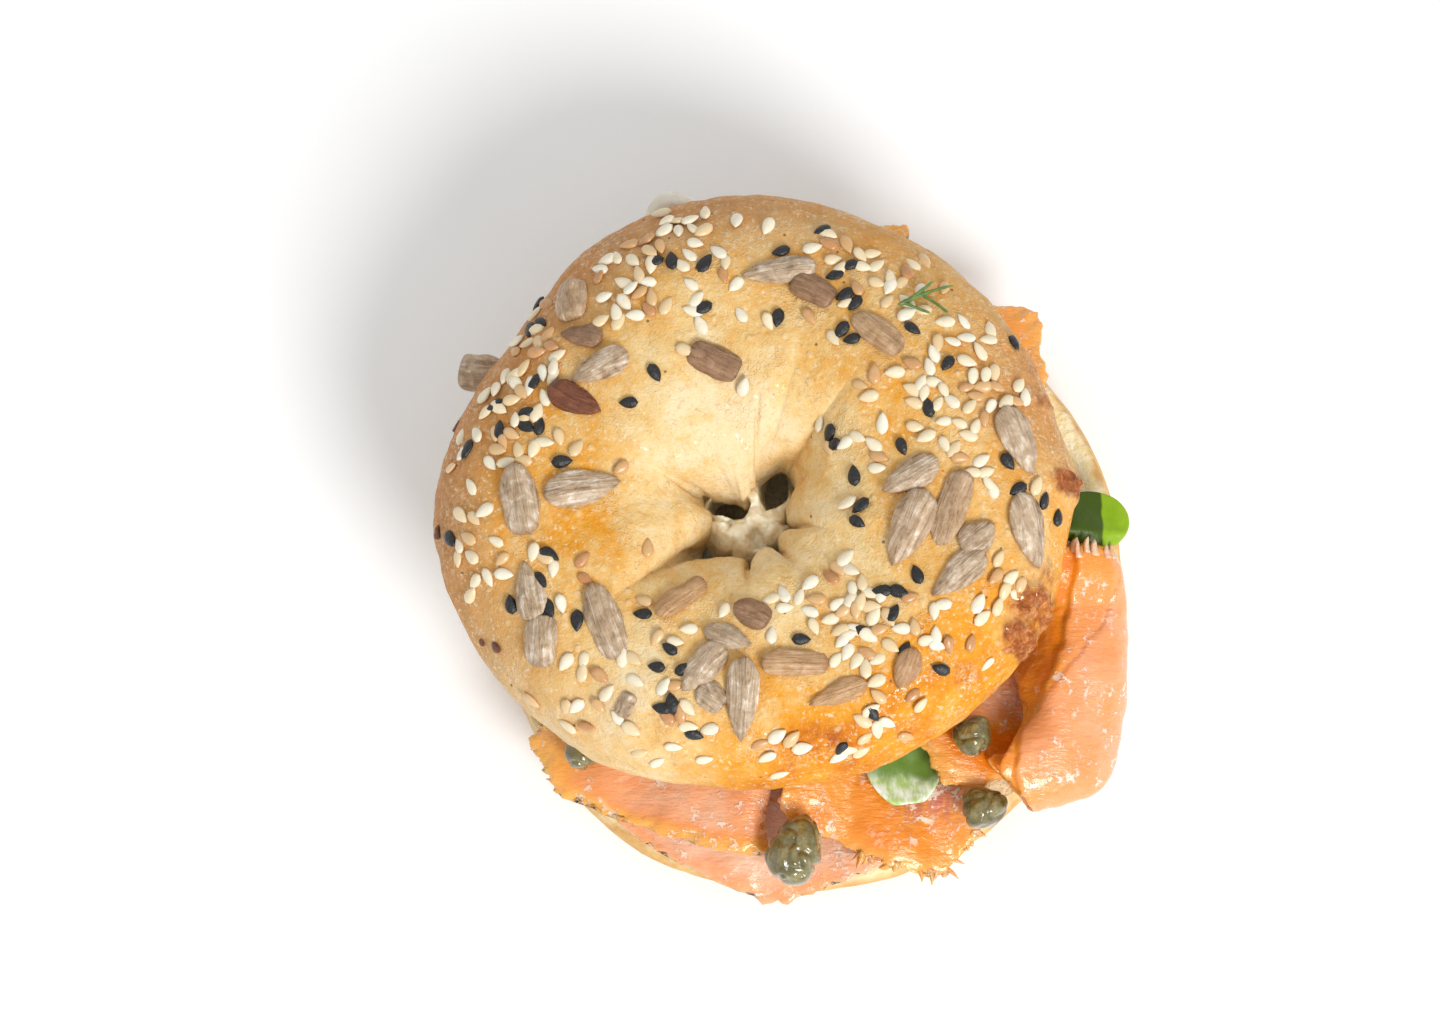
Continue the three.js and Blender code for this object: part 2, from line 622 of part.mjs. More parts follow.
function cheeseGeometry() {
  const under = blanket(0.8, 3);
  const { azimuth: oozeAt, width, out } = CHEESE_OOZE;
  const bottomAt = (x, y, high) =>
    Math.min(Math.max(under(x, y) + GAP + CHEESE.spare, high - CHEESE.thickness), high - CHEESE.least);
  const reach = (azimuth) => {
    const wave = 0.9 * Math.sin(degToRad(7 * azimuth));
    return lidOutline(azimuth) - CHEESE.inset + wave + out * bell(turnBetween(azimuth, oozeAt) / width);
  };
  const top = [];
  const bottom = [];
  for (let ring = 1; ring <= CHEESE.rings; ring++) {
    for (let i = 0; i < CHEESE.sides; i++) {
      const azimuth = (i * 360) / CHEESE.sides;
      const radius = reach(azimuth) * (ring / CHEESE.rings);
      const x = LID.centre[0] + radius * Math.cos(degToRad(azimuth));
      const y = LID.centre[1] + radius * Math.sin(degToRad(azimuth));
      const inHole = radius < roundCurve(LID.holeRadii, azimuth) + 1 ? CHEESE.web * 0.5 : 0;
      const high = cutHeight(x, y) - GAP - inHole - (ring === CHEESE.rings ? 0.5 : 0);
      top.push([x, y, high]);
      bottom.push([x, y, bottomAt(x, y, high)]);
    }
  }
  const [x, y] = LID.centre;
  const high = LID.cutHeight - GAP - CHEESE.web * 0.5;
  top.push([x, y, high]);
  bottom.push([x, y, bottomAt(x, y, high)]);
  const below = top.length;
  const hub = top.length - 1;
  const faces = [];
  for (let i = 0; i < CHEESE.sides; i++) {
    const next = (i + 1) % CHEESE.sides;
    faces.push([hub, i, next], [below + hub, below + next, below + i]);
    for (let ring = 0; ring < CHEESE.rings - 1; ring++) {
      const [a, b] = [ring * CHEESE.sides + i, ring * CHEESE.sides + next];
      const [c, d] = [b + CHEESE.sides, a + CHEESE.sides];
      faces.push([a, d, c, b], [below + b, below + c, below + d, below + a]);
    }
    const rim = (CHEESE.rings - 1) * CHEESE.sides;
    faces.push([rim + i, below + rim + i, below + rim + next, rim + next]);
  }
  let body = solidOf(meshOf([...top, ...bottom], faces));
  for (const { at, size, turn } of WEB_OPENINGS) {
    const hole = new THREE.CylinderGeometry(0.5, 0.5, 40, 9)
      .rotateX(Math.PI / 2)
      .scale(size[0], size[1], 1)
      .rotateZ(degToRad(turn))
      .translate(LID.centre[0] + at[0], LID.centre[1] + at[1], LID.cutHeight - 4);
    body = body.subtract(solidOf(hole));
  }
  return geometryOf(wholeBody(body));
}

// Dill: a thin stalk that forks into blunt threads
const DILL = { thickness: 0.7, sides: 4, steps: 4 };

function dillGeometry({ stem, forks }) {
  const height = (x, y) => {
    const [dx, dy] = [x - LID.centre[0], y - LID.centre[1]];
    const azimuth = THREE.MathUtils.radToDeg(Math.atan2(dy, dx));
    return cutHeight(x, y) + crustHeight(Math.hypot(dx, dy), azimuth);
  };
  const thread = (points) => {
    const path = new THREE.CatmullRomCurve3(
      points.map(([x, y, lift]) => new THREE.Vector3(x, y, height(x, y) + GAP + DILL.thickness / 2 + lift)),
    );
    const section = new THREE.Shape();
    for (let i = 0; i < DILL.sides; i++) {
      const turn = (2 * Math.PI * i) / DILL.sides;
      const [x, y] = [Math.cos(turn), Math.sin(turn)].map((v) => (v * DILL.thickness) / 2);
      section[i ? "lineTo" : "moveTo"](x, y);
    }
    section.closePath();
    return solidOf(new THREE.ExtrudeGeometry(section, { steps: DILL.steps, extrudePath: path }));
  };
  return geometryOf(wholeBody(wasm.Manifold.union([stem, ...forks].map(thread))));
}

// Materials
const paint = (color, roughness) => new THREE.MeshStandardMaterial({ color, roughness, metalness: 0 });
const CRUST = paint(0xd9a45f, 0.5);
const CREAM = paint(0xf1ead6, 0.5);
const SALMON = paint(0xf0864a, 0.3);
const CAPER = paint(0x5d5a38, 0.3);
const LEAF = paint(0x4f9a1c, 0.5);
const HERB = paint(0x3f7a2a, 0.5);

// Assembly, from the base up: each piece comes to lie on what is already piled up
const sandwich = new THREE.Group();

function lay(name, geometry, material, place = [0, 0, 0]) {
  const mesh = new THREE.Mesh(geometry, material);
  mesh.name = name;
  mesh.position.set(place[0] - MIDDLE[0], place[1] - MIDDLE[1], place[2]);
  sandwich.add(mesh);
  pileUp(geometry.clone().translate(...place));
}

lay("bagel_bottom", ringGeometry(HEEL.sides, heelSection), CRUST, [...HEEL.centre, 0]);
lay(
  "salmon_under",
  rimSlice({ from: 206, to: 287, inner: [18, 15, 18], outer: [44, 49, 51.5, 54, 50], ruffle: 0.8 }),
  SALMON,
);
lay(
  "salmon_back_tip",
  rimSlice({
    from: 71.5,
    to: 196,
    inner: [24, 16, 18],
    outer: [61.5, 51, 45, 43, 43, 42, 42],
    cells: [5, 15],
  }),
  SALMON,
);
lay(
  "salmon_back_right",
  rimSlice({ from: 6, to: 58, inner: [16, 22], outer: [41, 42, 44, 51, 58.5, 49], lift: [0.5, 0] }),
  SALMON,
);
lay(
  "salmon_left",
  rimSlice({
    from: 262.5,
    to: 212,
    inner: [26, 22, 26],
    outer: [47.6, 48, 50, 53.4, 51],
    flap: 12,
    hollow: 0.3,
    cells: [6, 18],
  }),
  SALMON,
);
lay(
  "salmon_front",
  rimSlice({
    from: 268,
    to: 310,
    inner: [26, 22, 27],
    outer: [42, 45, 49, 55.5, 54, 47],
    lift: [0, 0.3, 0.4, 2],
    cells: [7, 13],
  }),
  SALMON,
);
lay(
  "leaf_front",
  leafGeometry({ from: [19.6, -30], to: [21.6, -44], halfWidth: 6.4, cup: 0.6, slope: 1 }),
  LEAF,
);
lay(
  "salmon_inner",
  rimSlice({ from: 303, to: 364, inner: [24, 22, 26], outer: [43, 50, 46.5, 43.5, 43, 41], ruffle: 0.6 }),
  SALMON,
);
lay(
  "salmon_roll",
  rolledSlice({
    from: 313,
    to: 366,
    fold: [56, 61.5, 58, 54.5, 53, 48.5],
    flap: 9,
    hollow: [4, 6, 5, 4.5, 3.5, 2],
    run: [5, 13, 15, 11, 9, 5],
  }),
  SALMON,
);
lay("caper_1", restCaper({ at: [3.6, -51.4], heading: 72, length: 11.8, width: 8.6 }), CAPER);
lay("caper_2", restCaper({ at: [33.4, -44.8], heading: 20, length: 7.6, width: 6.8 }), CAPER);
lay("caper_3", restCaper({ at: [31.8, -33.4], heading: 50, length: 7, width: 6.2 }), CAPER);
lay("caper_4", restCaper({ at: [-30.6, -35.6], heading: 10, length: 6.2, width: 5.6 }), CAPER);
lay("leaf_right", leafGeometry({ from: [45.4, 1.6], to: [56.9, 0.6], halfWidth: 4.9, cup: 0.8 }), LEAF);
lay("cream_cheese", cheeseGeometry(), CREAM);

const lid = lidWithSeeds();
const lean = new THREE.Matrix4().set(1, 0, 0, 0, 0, 1, 0, 0, LID.rise[0], LID.rise[1], 1, 0, 0, 0, 0, 1);
lay("bagel_top", lid.applyMatrix4(lean), CRUST, [...LID.centre, LID.cutHeight]);
lay(
  "dill_sprig",
  dillGeometry({
    stem: [[20.8, 31.6, 0.5], [23.4, 32.8, 0.8], [26.6, 34.4, 1], [29.8, 35.4, 1.8]],
    forks: [
      [[22.6, 32.4, 0.7], [24.4, 34, 1], [26.4, 35.8, 1.4]],
      [[21.8, 32, 0.6], [24, 31, 0.8], [26, 30.2, 1]],
      [[24.6, 33.4, 0.6], [26.8, 32, 0.8], [28.8, 30.2, 1.4]],
    ],
  }),
  HERB,
);

export default sandwich;
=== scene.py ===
# The frame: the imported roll, in metres, standing on the table with its middle over the origin. All
# sizes below are in millimetres and turned into metres when a mesh is made.
import math

import bmesh
import bpy
import numpy as np
from mathutils import Matrix, Vector, noise
from mathutils.bvhtree import BVHTree


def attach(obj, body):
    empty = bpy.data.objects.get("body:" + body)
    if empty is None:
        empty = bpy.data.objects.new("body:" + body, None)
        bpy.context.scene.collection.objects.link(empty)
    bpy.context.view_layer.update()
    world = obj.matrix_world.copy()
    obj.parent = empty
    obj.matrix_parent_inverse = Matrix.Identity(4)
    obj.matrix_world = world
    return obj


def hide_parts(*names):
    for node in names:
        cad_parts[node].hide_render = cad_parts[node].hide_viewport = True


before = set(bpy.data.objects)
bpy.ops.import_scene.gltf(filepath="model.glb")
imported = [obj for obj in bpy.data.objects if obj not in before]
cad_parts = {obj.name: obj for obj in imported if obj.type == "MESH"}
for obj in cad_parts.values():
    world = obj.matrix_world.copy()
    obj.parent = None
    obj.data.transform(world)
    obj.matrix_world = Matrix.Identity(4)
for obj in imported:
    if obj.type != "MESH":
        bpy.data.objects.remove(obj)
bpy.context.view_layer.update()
MM = 0.001
MIDDLE = np.array([1.83, -1.276])


# Bottom half of the roll: baked dough with a rounded golden crust below and a pale cut face above.
# It is one ring whose section is turned round the hole, with the crumb's pores pressed into the cut.
HEEL = {
    "centre": (4, -5.7), "radius": 51.3, "height": 16, "hole": 9.5, "flare": 4, "brow": 5, "depth": 12.6,
    "squareness": 0.8, "sides": 400,
}


def ring_mesh(name, radius, height, centre):
    """A closed ring from tables of radius and height, one row for each azimuth."""
    sides, count = radius.shape
    turn = np.radians(np.arange(sides) * 360 / sides)[:, None]
    points = np.stack([radius * np.cos(turn), radius * np.sin(turn), height], -1).reshape(-1, 3)
    points[:, :2] += np.array(centre) - MIDDLE
    i, j = np.meshgrid(np.arange(sides), np.arange(count), indexing="ij")
    low, high = i * count, (i + 1) % sides * count
    up = (j + 1) % count
    faces = np.stack([low + j, high + j, high + up, low + up], -1).reshape(-1, 4)
    return solid_mesh(name, points, faces)


def solid_mesh(name, points, faces):
    mesh = bpy.data.meshes.new(name)
    mesh.from_pydata((np.asarray(points) * MM).tolist(), [], np.asarray(faces).tolist())
    mesh.shade_smooth()
    piece = bpy.data.objects.new(name, mesh)
    bpy.context.scene.collection.objects.link(piece)
    return piece


def points_of(piece):
    points = np.empty(len(piece.data.vertices) * 3)
    piece.data.vertices.foreach_get("co", points)
    return points.reshape(-1, 3) / MM


def move_points(piece, points):
    piece.data.vertices.foreach_set("co", (points * MM).ravel())
    piece.data.update()


def normals_of(piece):
    normals = np.empty(len(piece.data.vertices) * 3)
    piece.data.vertices.foreach_get("normal", normals)
    return normals.reshape(-1, 3)


def paint(piece, name, values):
    """Keeps a value for each point, which the material reads under this name."""
    layer = piece.data.attributes.new(name, "FLOAT", "POINT")
    layer.data.foreach_set("value", np.asarray(values, np.float32))


def grain(points, size, octaves=3, seed=0):
    """Smooth noise from about -1 to 1 with features of the given size."""
    shift = Vector((seed * 17.3, seed * 5.1, seed * 9.7))
    return np.array([noise.fractal(Vector(p / size) + shift, 1.0, 2.0, octaves) for p in points])


def step(low, high, x):
    t = np.clip((x - low) / (high - low), 0, 1)
    return t * t * (3 - 2 * t)


class Link:
    """A shader socket that can be added, multiplied and so on."""

    def __init__(self, tree, socket):
        self.tree, self.socket = tree, socket

    def math(self, operation, *values):
        node = self.tree.nodes.new("ShaderNodeMath")
        node.operation = operation
        for slot, value in zip(node.inputs, values):
            plug(self.tree, slot, value)
        return Link(self.tree, node.outputs[0])

    def __add__(self, other): return self.math("ADD", self, other)
    def __radd__(self, other): return self.math("ADD", other, self)
    def __sub__(self, other): return self.math("SUBTRACT", self, other)
    def __rsub__(self, other): return self.math("SUBTRACT", other, self)
    def __mul__(self, other): return self.math("MULTIPLY", self, other)
    def __rmul__(self, other): return self.math("MULTIPLY", other, self)
    def least(self, other): return self.math("MINIMUM", self, other)

    def ramp(self, low, high):
        """0 below low, 1 above high and smooth between."""
        node = self.tree.nodes.new("ShaderNodeMapRange")
        node.interpolation_type = "SMOOTHSTEP"
        for slot, value in zip(node.inputs, (self, low, high, 0.0, 1.0)):
            plug(self.tree, slot, value)
        return Link(self.tree, node.outputs[0])


def plug(tree, slot, value):
    if isinstance(value, Link):
        tree.links.new(value.socket, slot)
    elif slot.type == "RGBA" and len(value) == 3:
        slot.default_value = (*value, 1)
    else:
        slot.default_value = value


class Finish:
    """One material: nodes are asked for by type, with settings first and sockets by name."""

    def __init__(self, name):
        self.material = bpy.data.materials.new(name)
        self.material.use_nodes = True
        self.tree = self.material.node_tree
        self.shader = self.tree.nodes["Principled BSDF"]

    def node(self, kind, settings=None, out=0, **sockets):
        node = self.tree.nodes.new("ShaderNode" + kind)
        for key, value in (settings or {}).items():
            if key == "stops":
                while len(node.color_ramp.elements) < len(value):
                    node.color_ramp.elements.new(1)
                for element, (place, colour) in zip(node.color_ramp.elements, value):
                    element.position, element.color = place, (*colour, 1)
            else:
                setattr(node, key, value)
        for key, value in sockets.items():
            if key in ("A", "B", "Factor") and kind == "Mix":
                slots = [s for s in node.inputs if s.name == key and s.enabled]
                plug(self.tree, slots[0], value)
            else:
                plug(self.tree, node.inputs[key.replace("_", " ")], value)
        outs = [s for s in node.outputs if s.enabled] if kind == "Mix" else node.outputs
        return Link(self.tree, outs[out])

    def value(self, name):
        return self.node("Attribute", {"attribute_name": name}, out=2)

    def place(self, stretch=(1, 1, 1)):
        """Where a point is, in millimetres, stretched along the axes."""
        node = self.tree.nodes.new("ShaderNodeVectorMath")
        node.operation = "MULTIPLY"
        plug(self.tree, node.inputs[0], self.node("NewGeometry"))
        node.inputs[1].default_value = tuple(s / MM for s in stretch)
        return Link(self.tree, node.outputs[0])

    def specks(self, size, detail=3, stretch=(1, 1, 1), distortion=0):
        """Noise with features of about the size in millimetres, from 0 to 1."""
        return self.node(
            "TexNoise", Vector=self.place(stretch), Scale=1 / size, Detail=detail, Roughness=0.55,
            Distortion=distortion,
        )

    def cells(self, size, feature="F1", out=0):
        """Cells of about the size in millimetres: how far in a point is, or each cell's own colour."""
        return self.node("TexVoronoi", {"feature": feature}, out, Vector=self.place(), Scale=1 / size)

    def mix(self, amount, first, second):
        return self.node("Mix", {"data_type": "RGBA"}, Factor=amount, A=first, B=second)

    def tones(self, amount, *stops):
        return self.node("ValToRGB", {"stops": stops}, Fac=amount)

    def relief(self, height, depth, below=None):
        """A bump of the given depth in millimetres, on top of another bump."""
        more = {"Normal": below} if below else {}
        return self.node("Bump", Height=height, Distance=depth * MM, Strength=1.0, **more)

    def set(self, **sockets):
        for key, value in sockets.items():
            plug(self.tree, self.shader.inputs[key.replace("_", " ")], value)

    def on(self, piece):
        piece.data.materials.clear()
        piece.data.materials.append(self.material)


# How much brighter than its own tone a plain surface shows in the light of this scene.
LIT = 1.22


def rgb(red, green, blue):
    """The finish that shows as this screen colour, from 0 to 255, in the light of this scene."""
    screen = (c / 255 for c in (red, green, blue))
    return tuple((c / 12.92 if c <= 0.04045 else ((c + 0.055) / 1.055) ** 2.4) / LIT for c in screen)


def heel_ring():
    azimuth = np.radians(np.arange(HEEL["sides"]) * 360 / HEEL["sides"])[:, None]
    outer = HEEL["radius"] + 0.5 * np.sin(3 * azimuth + 1) + 0.35 * np.sin(5 * azimuth)
    inner = HEEL["hole"] + 0.5 * np.sin(2 * azimuth)
    middle = (outer + inner + HEEL["flare"]) / 2
    angle = np.radians(np.linspace(-180, 4, 90))[None, :]
    across = np.sign(np.cos(angle)) * np.abs(np.cos(angle)) ** HEEL["squareness"]
    down = np.sign(-np.sin(angle)) * np.abs(np.sin(angle)) ** HEEL["squareness"]
    half = np.where(across > 0, outer - middle, middle - inner)
    crust_radius = middle + half * across
    below = np.maximum(HEEL["height"] - HEEL["brow"] - HEEL["depth"] * down, 0) + 0 * crust_radius
    cut_radius = inner + (outer - 1 - inner) * np.linspace(1, 0, 60)[None, :]
    radius = np.concatenate([crust_radius, cut_radius], 1)
    height = np.concatenate([below, HEEL["height"] + 0 * cut_radius], 1)
    piece = ring_mesh("bottom_half", radius, height, HEEL["centre"])
    points = points_of(piece)
    cut = step(HEEL["height"] - 2.6, HEEL["height"] - 1.2, points[:, 2] + 1.2 * grain(points, 2.5, 2, 15))
    free = step(0.3, 3, points[:, 2])
    dents = 0.35 * grain(points, 9, 3) * free * (1 - cut)
    pores = 0.35 * np.minimum(grain(points, 1.6, 2, 4), 0) * cut
    normals = normals_of(piece)
    away = np.hypot(*(points[:, :2] + MIDDLE - np.array(HEEL["centre"])).T)
    edge = step(HEEL["radius"] - 1.6, HEEL["radius"], away + 1.2 * grain(points, 2.4, 2, 14))
    paint(piece, "cut", cut * (1 - 0.9 * edge))
    points += normals * dents[:, None] + np.array([0, 0, 1]) * pores[:, None]
    move_points(piece, points)
    return piece


def heel_finish():
    crust = Finish("golden_crust")
    cut = crust.value("cut")
    mottle = crust.specks(6) * 0.6 + crust.specks(1.4) * 0.4
    skin = crust.tones(
        mottle, (0.3, rgb(204, 140, 70)), (0.5, rgb(232, 178, 100)), (0.72, rgb(246, 208, 138))
    )
    crumb = crust.tones(crust.specks(1.8, 4), (0.3, rgb(254, 228, 160)), (0.6, rgb(270, 252, 210)))
    skin_relief = crust.relief(crust.specks(1.2, 4), 0.12)
    both = crust.relief(crust.specks(0.8, 4) * cut, 0.5, skin_relief)
    crust.set(
        Base_Color=crust.mix(cut, skin, crumb), Normal=both, Roughness=0.5 + cut * 0.35,
        Specular_IOR_Level=0.2,
    )
    return crust


bottom_half = heel_ring()
heel_finish().on(bottom_half)
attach(bottom_half, "root")
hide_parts("bagel_bottom")


# Smoked salmon: thin moist slices cut along the fillet, draped over the bottom half and folded. The flesh
# goes from pale pink to deep orange, glistens with painted white glints, and turns thin, torn and yellow
# along the edges.
def settle(piece):
    """Keeps what the modifiers make of a piece as its own smooth mesh."""
    made = bpy.data.meshes.new_from_object(piece.evaluated_get(bpy.context.evaluated_depsgraph_get()))
    piece.modifiers.clear()
    piece.data = made
    made.shade_smooth()


def soft_copy(node, levels=3):
    """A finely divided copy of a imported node: same form, rounded, ready to be worked on."""
    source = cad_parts[node]
    mesh = bmesh.new()
    mesh.from_mesh(source.data)
    bmesh.ops.remove_doubles(mesh, verts=mesh.verts, dist=0.02 * MM)
    bmesh.ops.join_triangles(mesh, faces=mesh.faces, angle_face_threshold=1.2, angle_shape_threshold=1.2)
    data = bpy.data.meshes.new(node + "_fine")
    mesh.to_mesh(data)
    mesh.free()
    piece = bpy.data.objects.new(node + "_fine", data)
    bpy.context.scene.collection.objects.link(piece)
    rounding = piece.modifiers.new("rounding", "SUBSURF")
    rounding.levels = levels
    rounding.render_levels = levels
    settle(piece)
    return piece


def thickness_of(piece):
    """How thick the piece is under each point, straight through along the normal."""
    mesh = piece.data
    tree = BVHTree.FromPolygons([v.co for v in mesh.vertices], [p.vertices for p in mesh.polygons])
    found = np.full(len(mesh.vertices), 9.0)
    for k, vertex in enumerate(mesh.vertices):
        hit = tree.ray_cast(vertex.co - vertex.normal * 0.05 * MM, -vertex.normal, 9 * MM)
        if hit[0] is not None:
            found[k] = hit[3] / MM
    return found


def draw_from(seed):
    """A repeatable draw from 0 to 1."""
    state = seed
    while True:
        state = (state * 1664525 + 1013904223) % 4294967296
        yield state / 4294967296


def salmon_piece(node, seed):
    piece = soft_copy(node)
    points, normals = points_of(piece), normals_of(piece)
    thin = 1 - step(0.9, 1.9, thickness_of(piece))
    flat = np.stack([points[:, 0], points[:, 1], points[:, 2] * 0.3], 1)
    tear = grain(flat, 1.7, 3, seed)[:, None] * 1.3 + grain(flat, 5, 2, seed + 1)[:, None] * 0.9
    out = normals * np.array([1, 1, 0.15])
    orange, brown, sunk = salmon_tones(node, points, thin, seed)
    points += out * tear * thin[:, None]
    swell = 0.3 * grain(points, 6, 2, seed + 2) + 0.1 * grain(points, 2.2, 2, seed + 5)
    points += normals * swell[:, None]
    points[:, 2] -= sunk
    move_points(piece, points)
    paint(piece, "thin", thin)
    paint(piece, "orange", orange)
    paint(piece, "brown", brown)
    return piece


# The roll's inner turn ends along the first line, and its outer turn creases along the second.
ROLL_FOLD = ([-42.2, -32.4, -27.1, -17.6, -11.8, -1.1], [36.8, 37, 40.4, 44.2, 45.6, 47])
ROLL_CREASE = ([-27.1, -19.5, -13.5, -5.8], [40.6, 46.4, 50.9, 54.2])


def salmon_tones(node, points, thin, seed):
    """How orange and how brown a slice is at each point, and how far a fold lets it down."""
    x, y = points[:, 0], points[:, 1]
    none = np.zeros(len(points))
    brown, sunk = none, none
    if node == "salmon_left":
        edge_line = -43 - (x + 36.5) * 0.23
        orange = 0.24 + 0.36 * step(22, 36, -x) + 0.34 * step(3, 0.5, y - edge_line)
    elif node == "salmon_front":
        brown = step(15, 20, x) * step(-47, -42, y)
        orange = 0.84 + 0.16 * step(4, -4, x) - 0.25 * brown
    elif node == "salmon_roll":
        wander = 0.5 * grain(points, 4, 2, seed + 9)
        fold, crease = np.interp(y, *ROLL_FOLD) + wander, np.interp(y, *ROLL_CREASE) + wander
        inner, band = step(-0.5, 0.5, fold - x), step(-0.4, 0.4, crease - x) * step(-28, -26, y)
        orange = 0.36 + 0.55 * inner + 0.2 * band * (1 - inner)
        groove = np.exp(-(((x - crease) / 0.4) ** 2)) * step(-28, -25, y) * (1 - step(-8, -5, y))
        raised_end = 2.8 * step(-12, -6, y) * step(-1, -2.6, y)
        sunk = 1.1 * inner + 0.35 * groove + 0.25 * band - raised_end
        thin *= 0.3
    elif node == "salmon_inner":
        orange = 0.3 + 0.8 * step(27, 32, -y)
    else:
        orange = none + {"salmon_under": 0.08, "salmon_back_right": 0.62}.get(node, 0.5)
    return orange + 0.16 * grain(points, 8, 2, seed + 7) + 0.2 * thin, brown, sunk


# For each slice with torn edges: from where to where in x and y, how many fibres, and how long.
SHREDS = {
    "salmon_roll": ((43.8, 53.6, -3.8, -2.4), 16, 3.2),
    "salmon_left": ((-48, -30, -52, -20), 34, 2.2),
    "salmon_front": ((10, 36, -60, -38), 60, 4),
    "salmon_under": ((-30, 18, -62, -38), 26, 1.6),
}


def shreds_of(piece, node, draw):
    """Torn fibres: thin tapering strips that grow out of an edge, or out of the roll's upper end."""
    (x0, x1, y0, y1), count, length = SHREDS[node]
    points, normals = points_of(piece), normals_of(piece)
    thin = np.empty(len(points), np.float32)
    piece.data.attributes["thin"].data.foreach_get("value", thin)
    starts = (points[:, 0] > x0) & (points[:, 0] < x1) & (points[:, 1] > y0) & (points[:, 1] < y1)
    on_end = node == "salmon_roll"
    if on_end:
        starts &= normals[:, 2] > 0.3
    else:
        outward = ((points - points.mean(0))[:, :2] * normals[:, :2]).sum(1) > 0
        starts &= outward & (thin > 0.75) & (np.abs(normals[:, 2]) < 0.35)
    starts = np.where(starts)[0]
    starts = starts[np.argsort(points[starts, 0])]
    corners, faces = [], []
    for k in range(count):
        at = starts[int((k + 0.5) / count * len(starts) if on_end else next(draw) * len(starts))]
        turn = (next(draw) - 0.5) * (0.5 if on_end else 1.3)
        way = np.array([0.08, 1]) if on_end else normals[at, :2]
        way = way / np.linalg.norm(way)
        cos, sin = math.cos(turn), math.sin(turn)
        way = np.array([way[0] * cos - way[1] * sin, way[0] * sin + way[1] * cos, 0])
        across = np.array([-way[1], way[0], 0])
        long = length * (0.7 + 0.3 * next(draw) if on_end else 0.2 + 0.6 * next(draw) ** 2)
        long += 2 * step(46.6, 45.4, points[at, 0]) * on_end
        wide, droop = 0.8 + (0.8 if on_end else 1.5) * next(draw), 0.5 * next(draw)
        first = len(corners)
        for ring in range(6):
            t = ring / 5
            sway = across * 0.3 * math.sin(3 * t + turn)
            sink = 0.35 if on_end else -droop * t * t
            spine = points[at] + way * (long * t - 0.9) + np.array([0, 0, sink]) + sway
            half = wide * (1 - t) ** (0.4 if on_end else 0.7) * 0.5 + 0.05
            thick = (0.45 if on_end else 0.3) * (1 - 0.6 * t)
            for a, b in ((1, 0), (0, 1), (-1, 0), (0, -1)):
                corners.append(spine + across * half * a + np.array([0, 0, thick * b]))
        for ring in range(5):
            for side in range(4):
                a, b = first + ring * 4 + side, first + ring * 4 + (side + 1) % 4
                faces.append((a, b, b + 4, a + 4))
        faces += [(first + 3, first + 2, first + 1, first), tuple(first + 20 + side for side in range(4))]
    strips = solid_mesh(node + "_shreds", corners, faces)
    paint(strips, "thin", np.full(len(corners), 0 if on_end else 0.6))
    paint(strips, "orange", (-0.1 if on_end else 0.5) + 0.4 * grain(np.array(corners), 3, 2, 91))
    paint(strips, "brown", np.zeros(len(corners)))
    return strips


def salmon_finish():
    flesh = Finish("salmon_flesh")
    thin, orange, brown = (flesh.value(name) for name in ("thin", "orange", "brown"))
    cloud = flesh.specks(6, 3) * 0.6 + flesh.specks(2, 3, (1, 2, 1)) * 0.4
    body = flesh.tones(
        orange + (cloud - 0.5) * 0.6, (0.0, rgb(256, 208, 174)), (0.28, rgb(256, 176, 120)),
        (0.5, rgb(252, 160, 84)), (0.75, rgb(252, 162, 46)), (1.0, rgb(254, 140, 14)),
    )
    browned = flesh.mix(brown * flesh.specks(2.4, 4, (2, 0.7, 1)).ramp(0.35, 0.6), body, rgb(222, 124, 92))
    edged = flesh.mix(thin * 0.6 * orange.ramp(0.3, 0.6), browned, rgb(262, 196, 96))
    fibres = flesh.specks(1.1, 4, (0.6, 2.4, 1))
    # Painted highlights: white wet glints in scattered patches, most on the browned part and on the paler
    # flesh, whitened into the colour below.
    pick = (flesh.specks(7, 2).ramp(0.48, 0.6) + brown * 0.7).least(1.0)
    wet = (flesh.specks(2.2, 4) * 0.6 + flesh.specks(0.6, 3) * 0.4).ramp(0.53, 0.59) * pick
    frost = (wet * (0.75 + brown * 0.4) * (1.2 - orange * 0.5)).least(0.95)
    relief = flesh.relief(fibres, 0.16, flesh.relief(cloud, 0.6))
    relief = flesh.relief(wet, 0.12, flesh.relief(flesh.specks(0.6, 3), 0.05, relief))
    flesh.set(
        Base_Color=flesh.mix(frost, edged, rgb(266, 246, 226)), Normal=relief, Roughness=0.2,
        Subsurface_Weight=0.35, Subsurface_Radius=(0.0022, 0.0009, 0.0005), Subsurface_Scale=1.0,
        Coat_Weight=0.4, Coat_Roughness=0.06,
    )
    return flesh


salmon = salmon_finish()
draw = draw_from(5)
for seed, node in enumerate(sorted(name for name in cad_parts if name.startswith("salmon_"))):
    pieces = [salmon_piece(node, seed + 3)]
    if node in SHREDS:
        pieces.append(shreds_of(pieces[0], node, draw))
    for piece in pieces:
        salmon.on(piece)
        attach(piece, "root")
        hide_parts(node)


# Capers: pickled flower buds with overlapping petals, olive brown and softly wrinkled. They lie loose
# on the salmon, wet from the brine.
def caper_finish():
    bud = Finish("caper_skin")
    mottle = bud.specks(2.6, 3) * 0.7 + bud.specks(0.7, 3) * 0.3
    skin = bud.tones(mottle, (0.3, rgb(72, 64, 24)), (0.5, rgb(118, 108, 58)), (0.7, rgb(168, 158, 104)))
    wrinkles = bud.relief(bud.specks(2.2, 2, distortion=1.2), 0.4)
    bud.set(Base_Color=skin, Normal=wrinkles, Roughness=0.16, Coat_Weight=1.0, Coat_Roughness=0.05)
    return bud


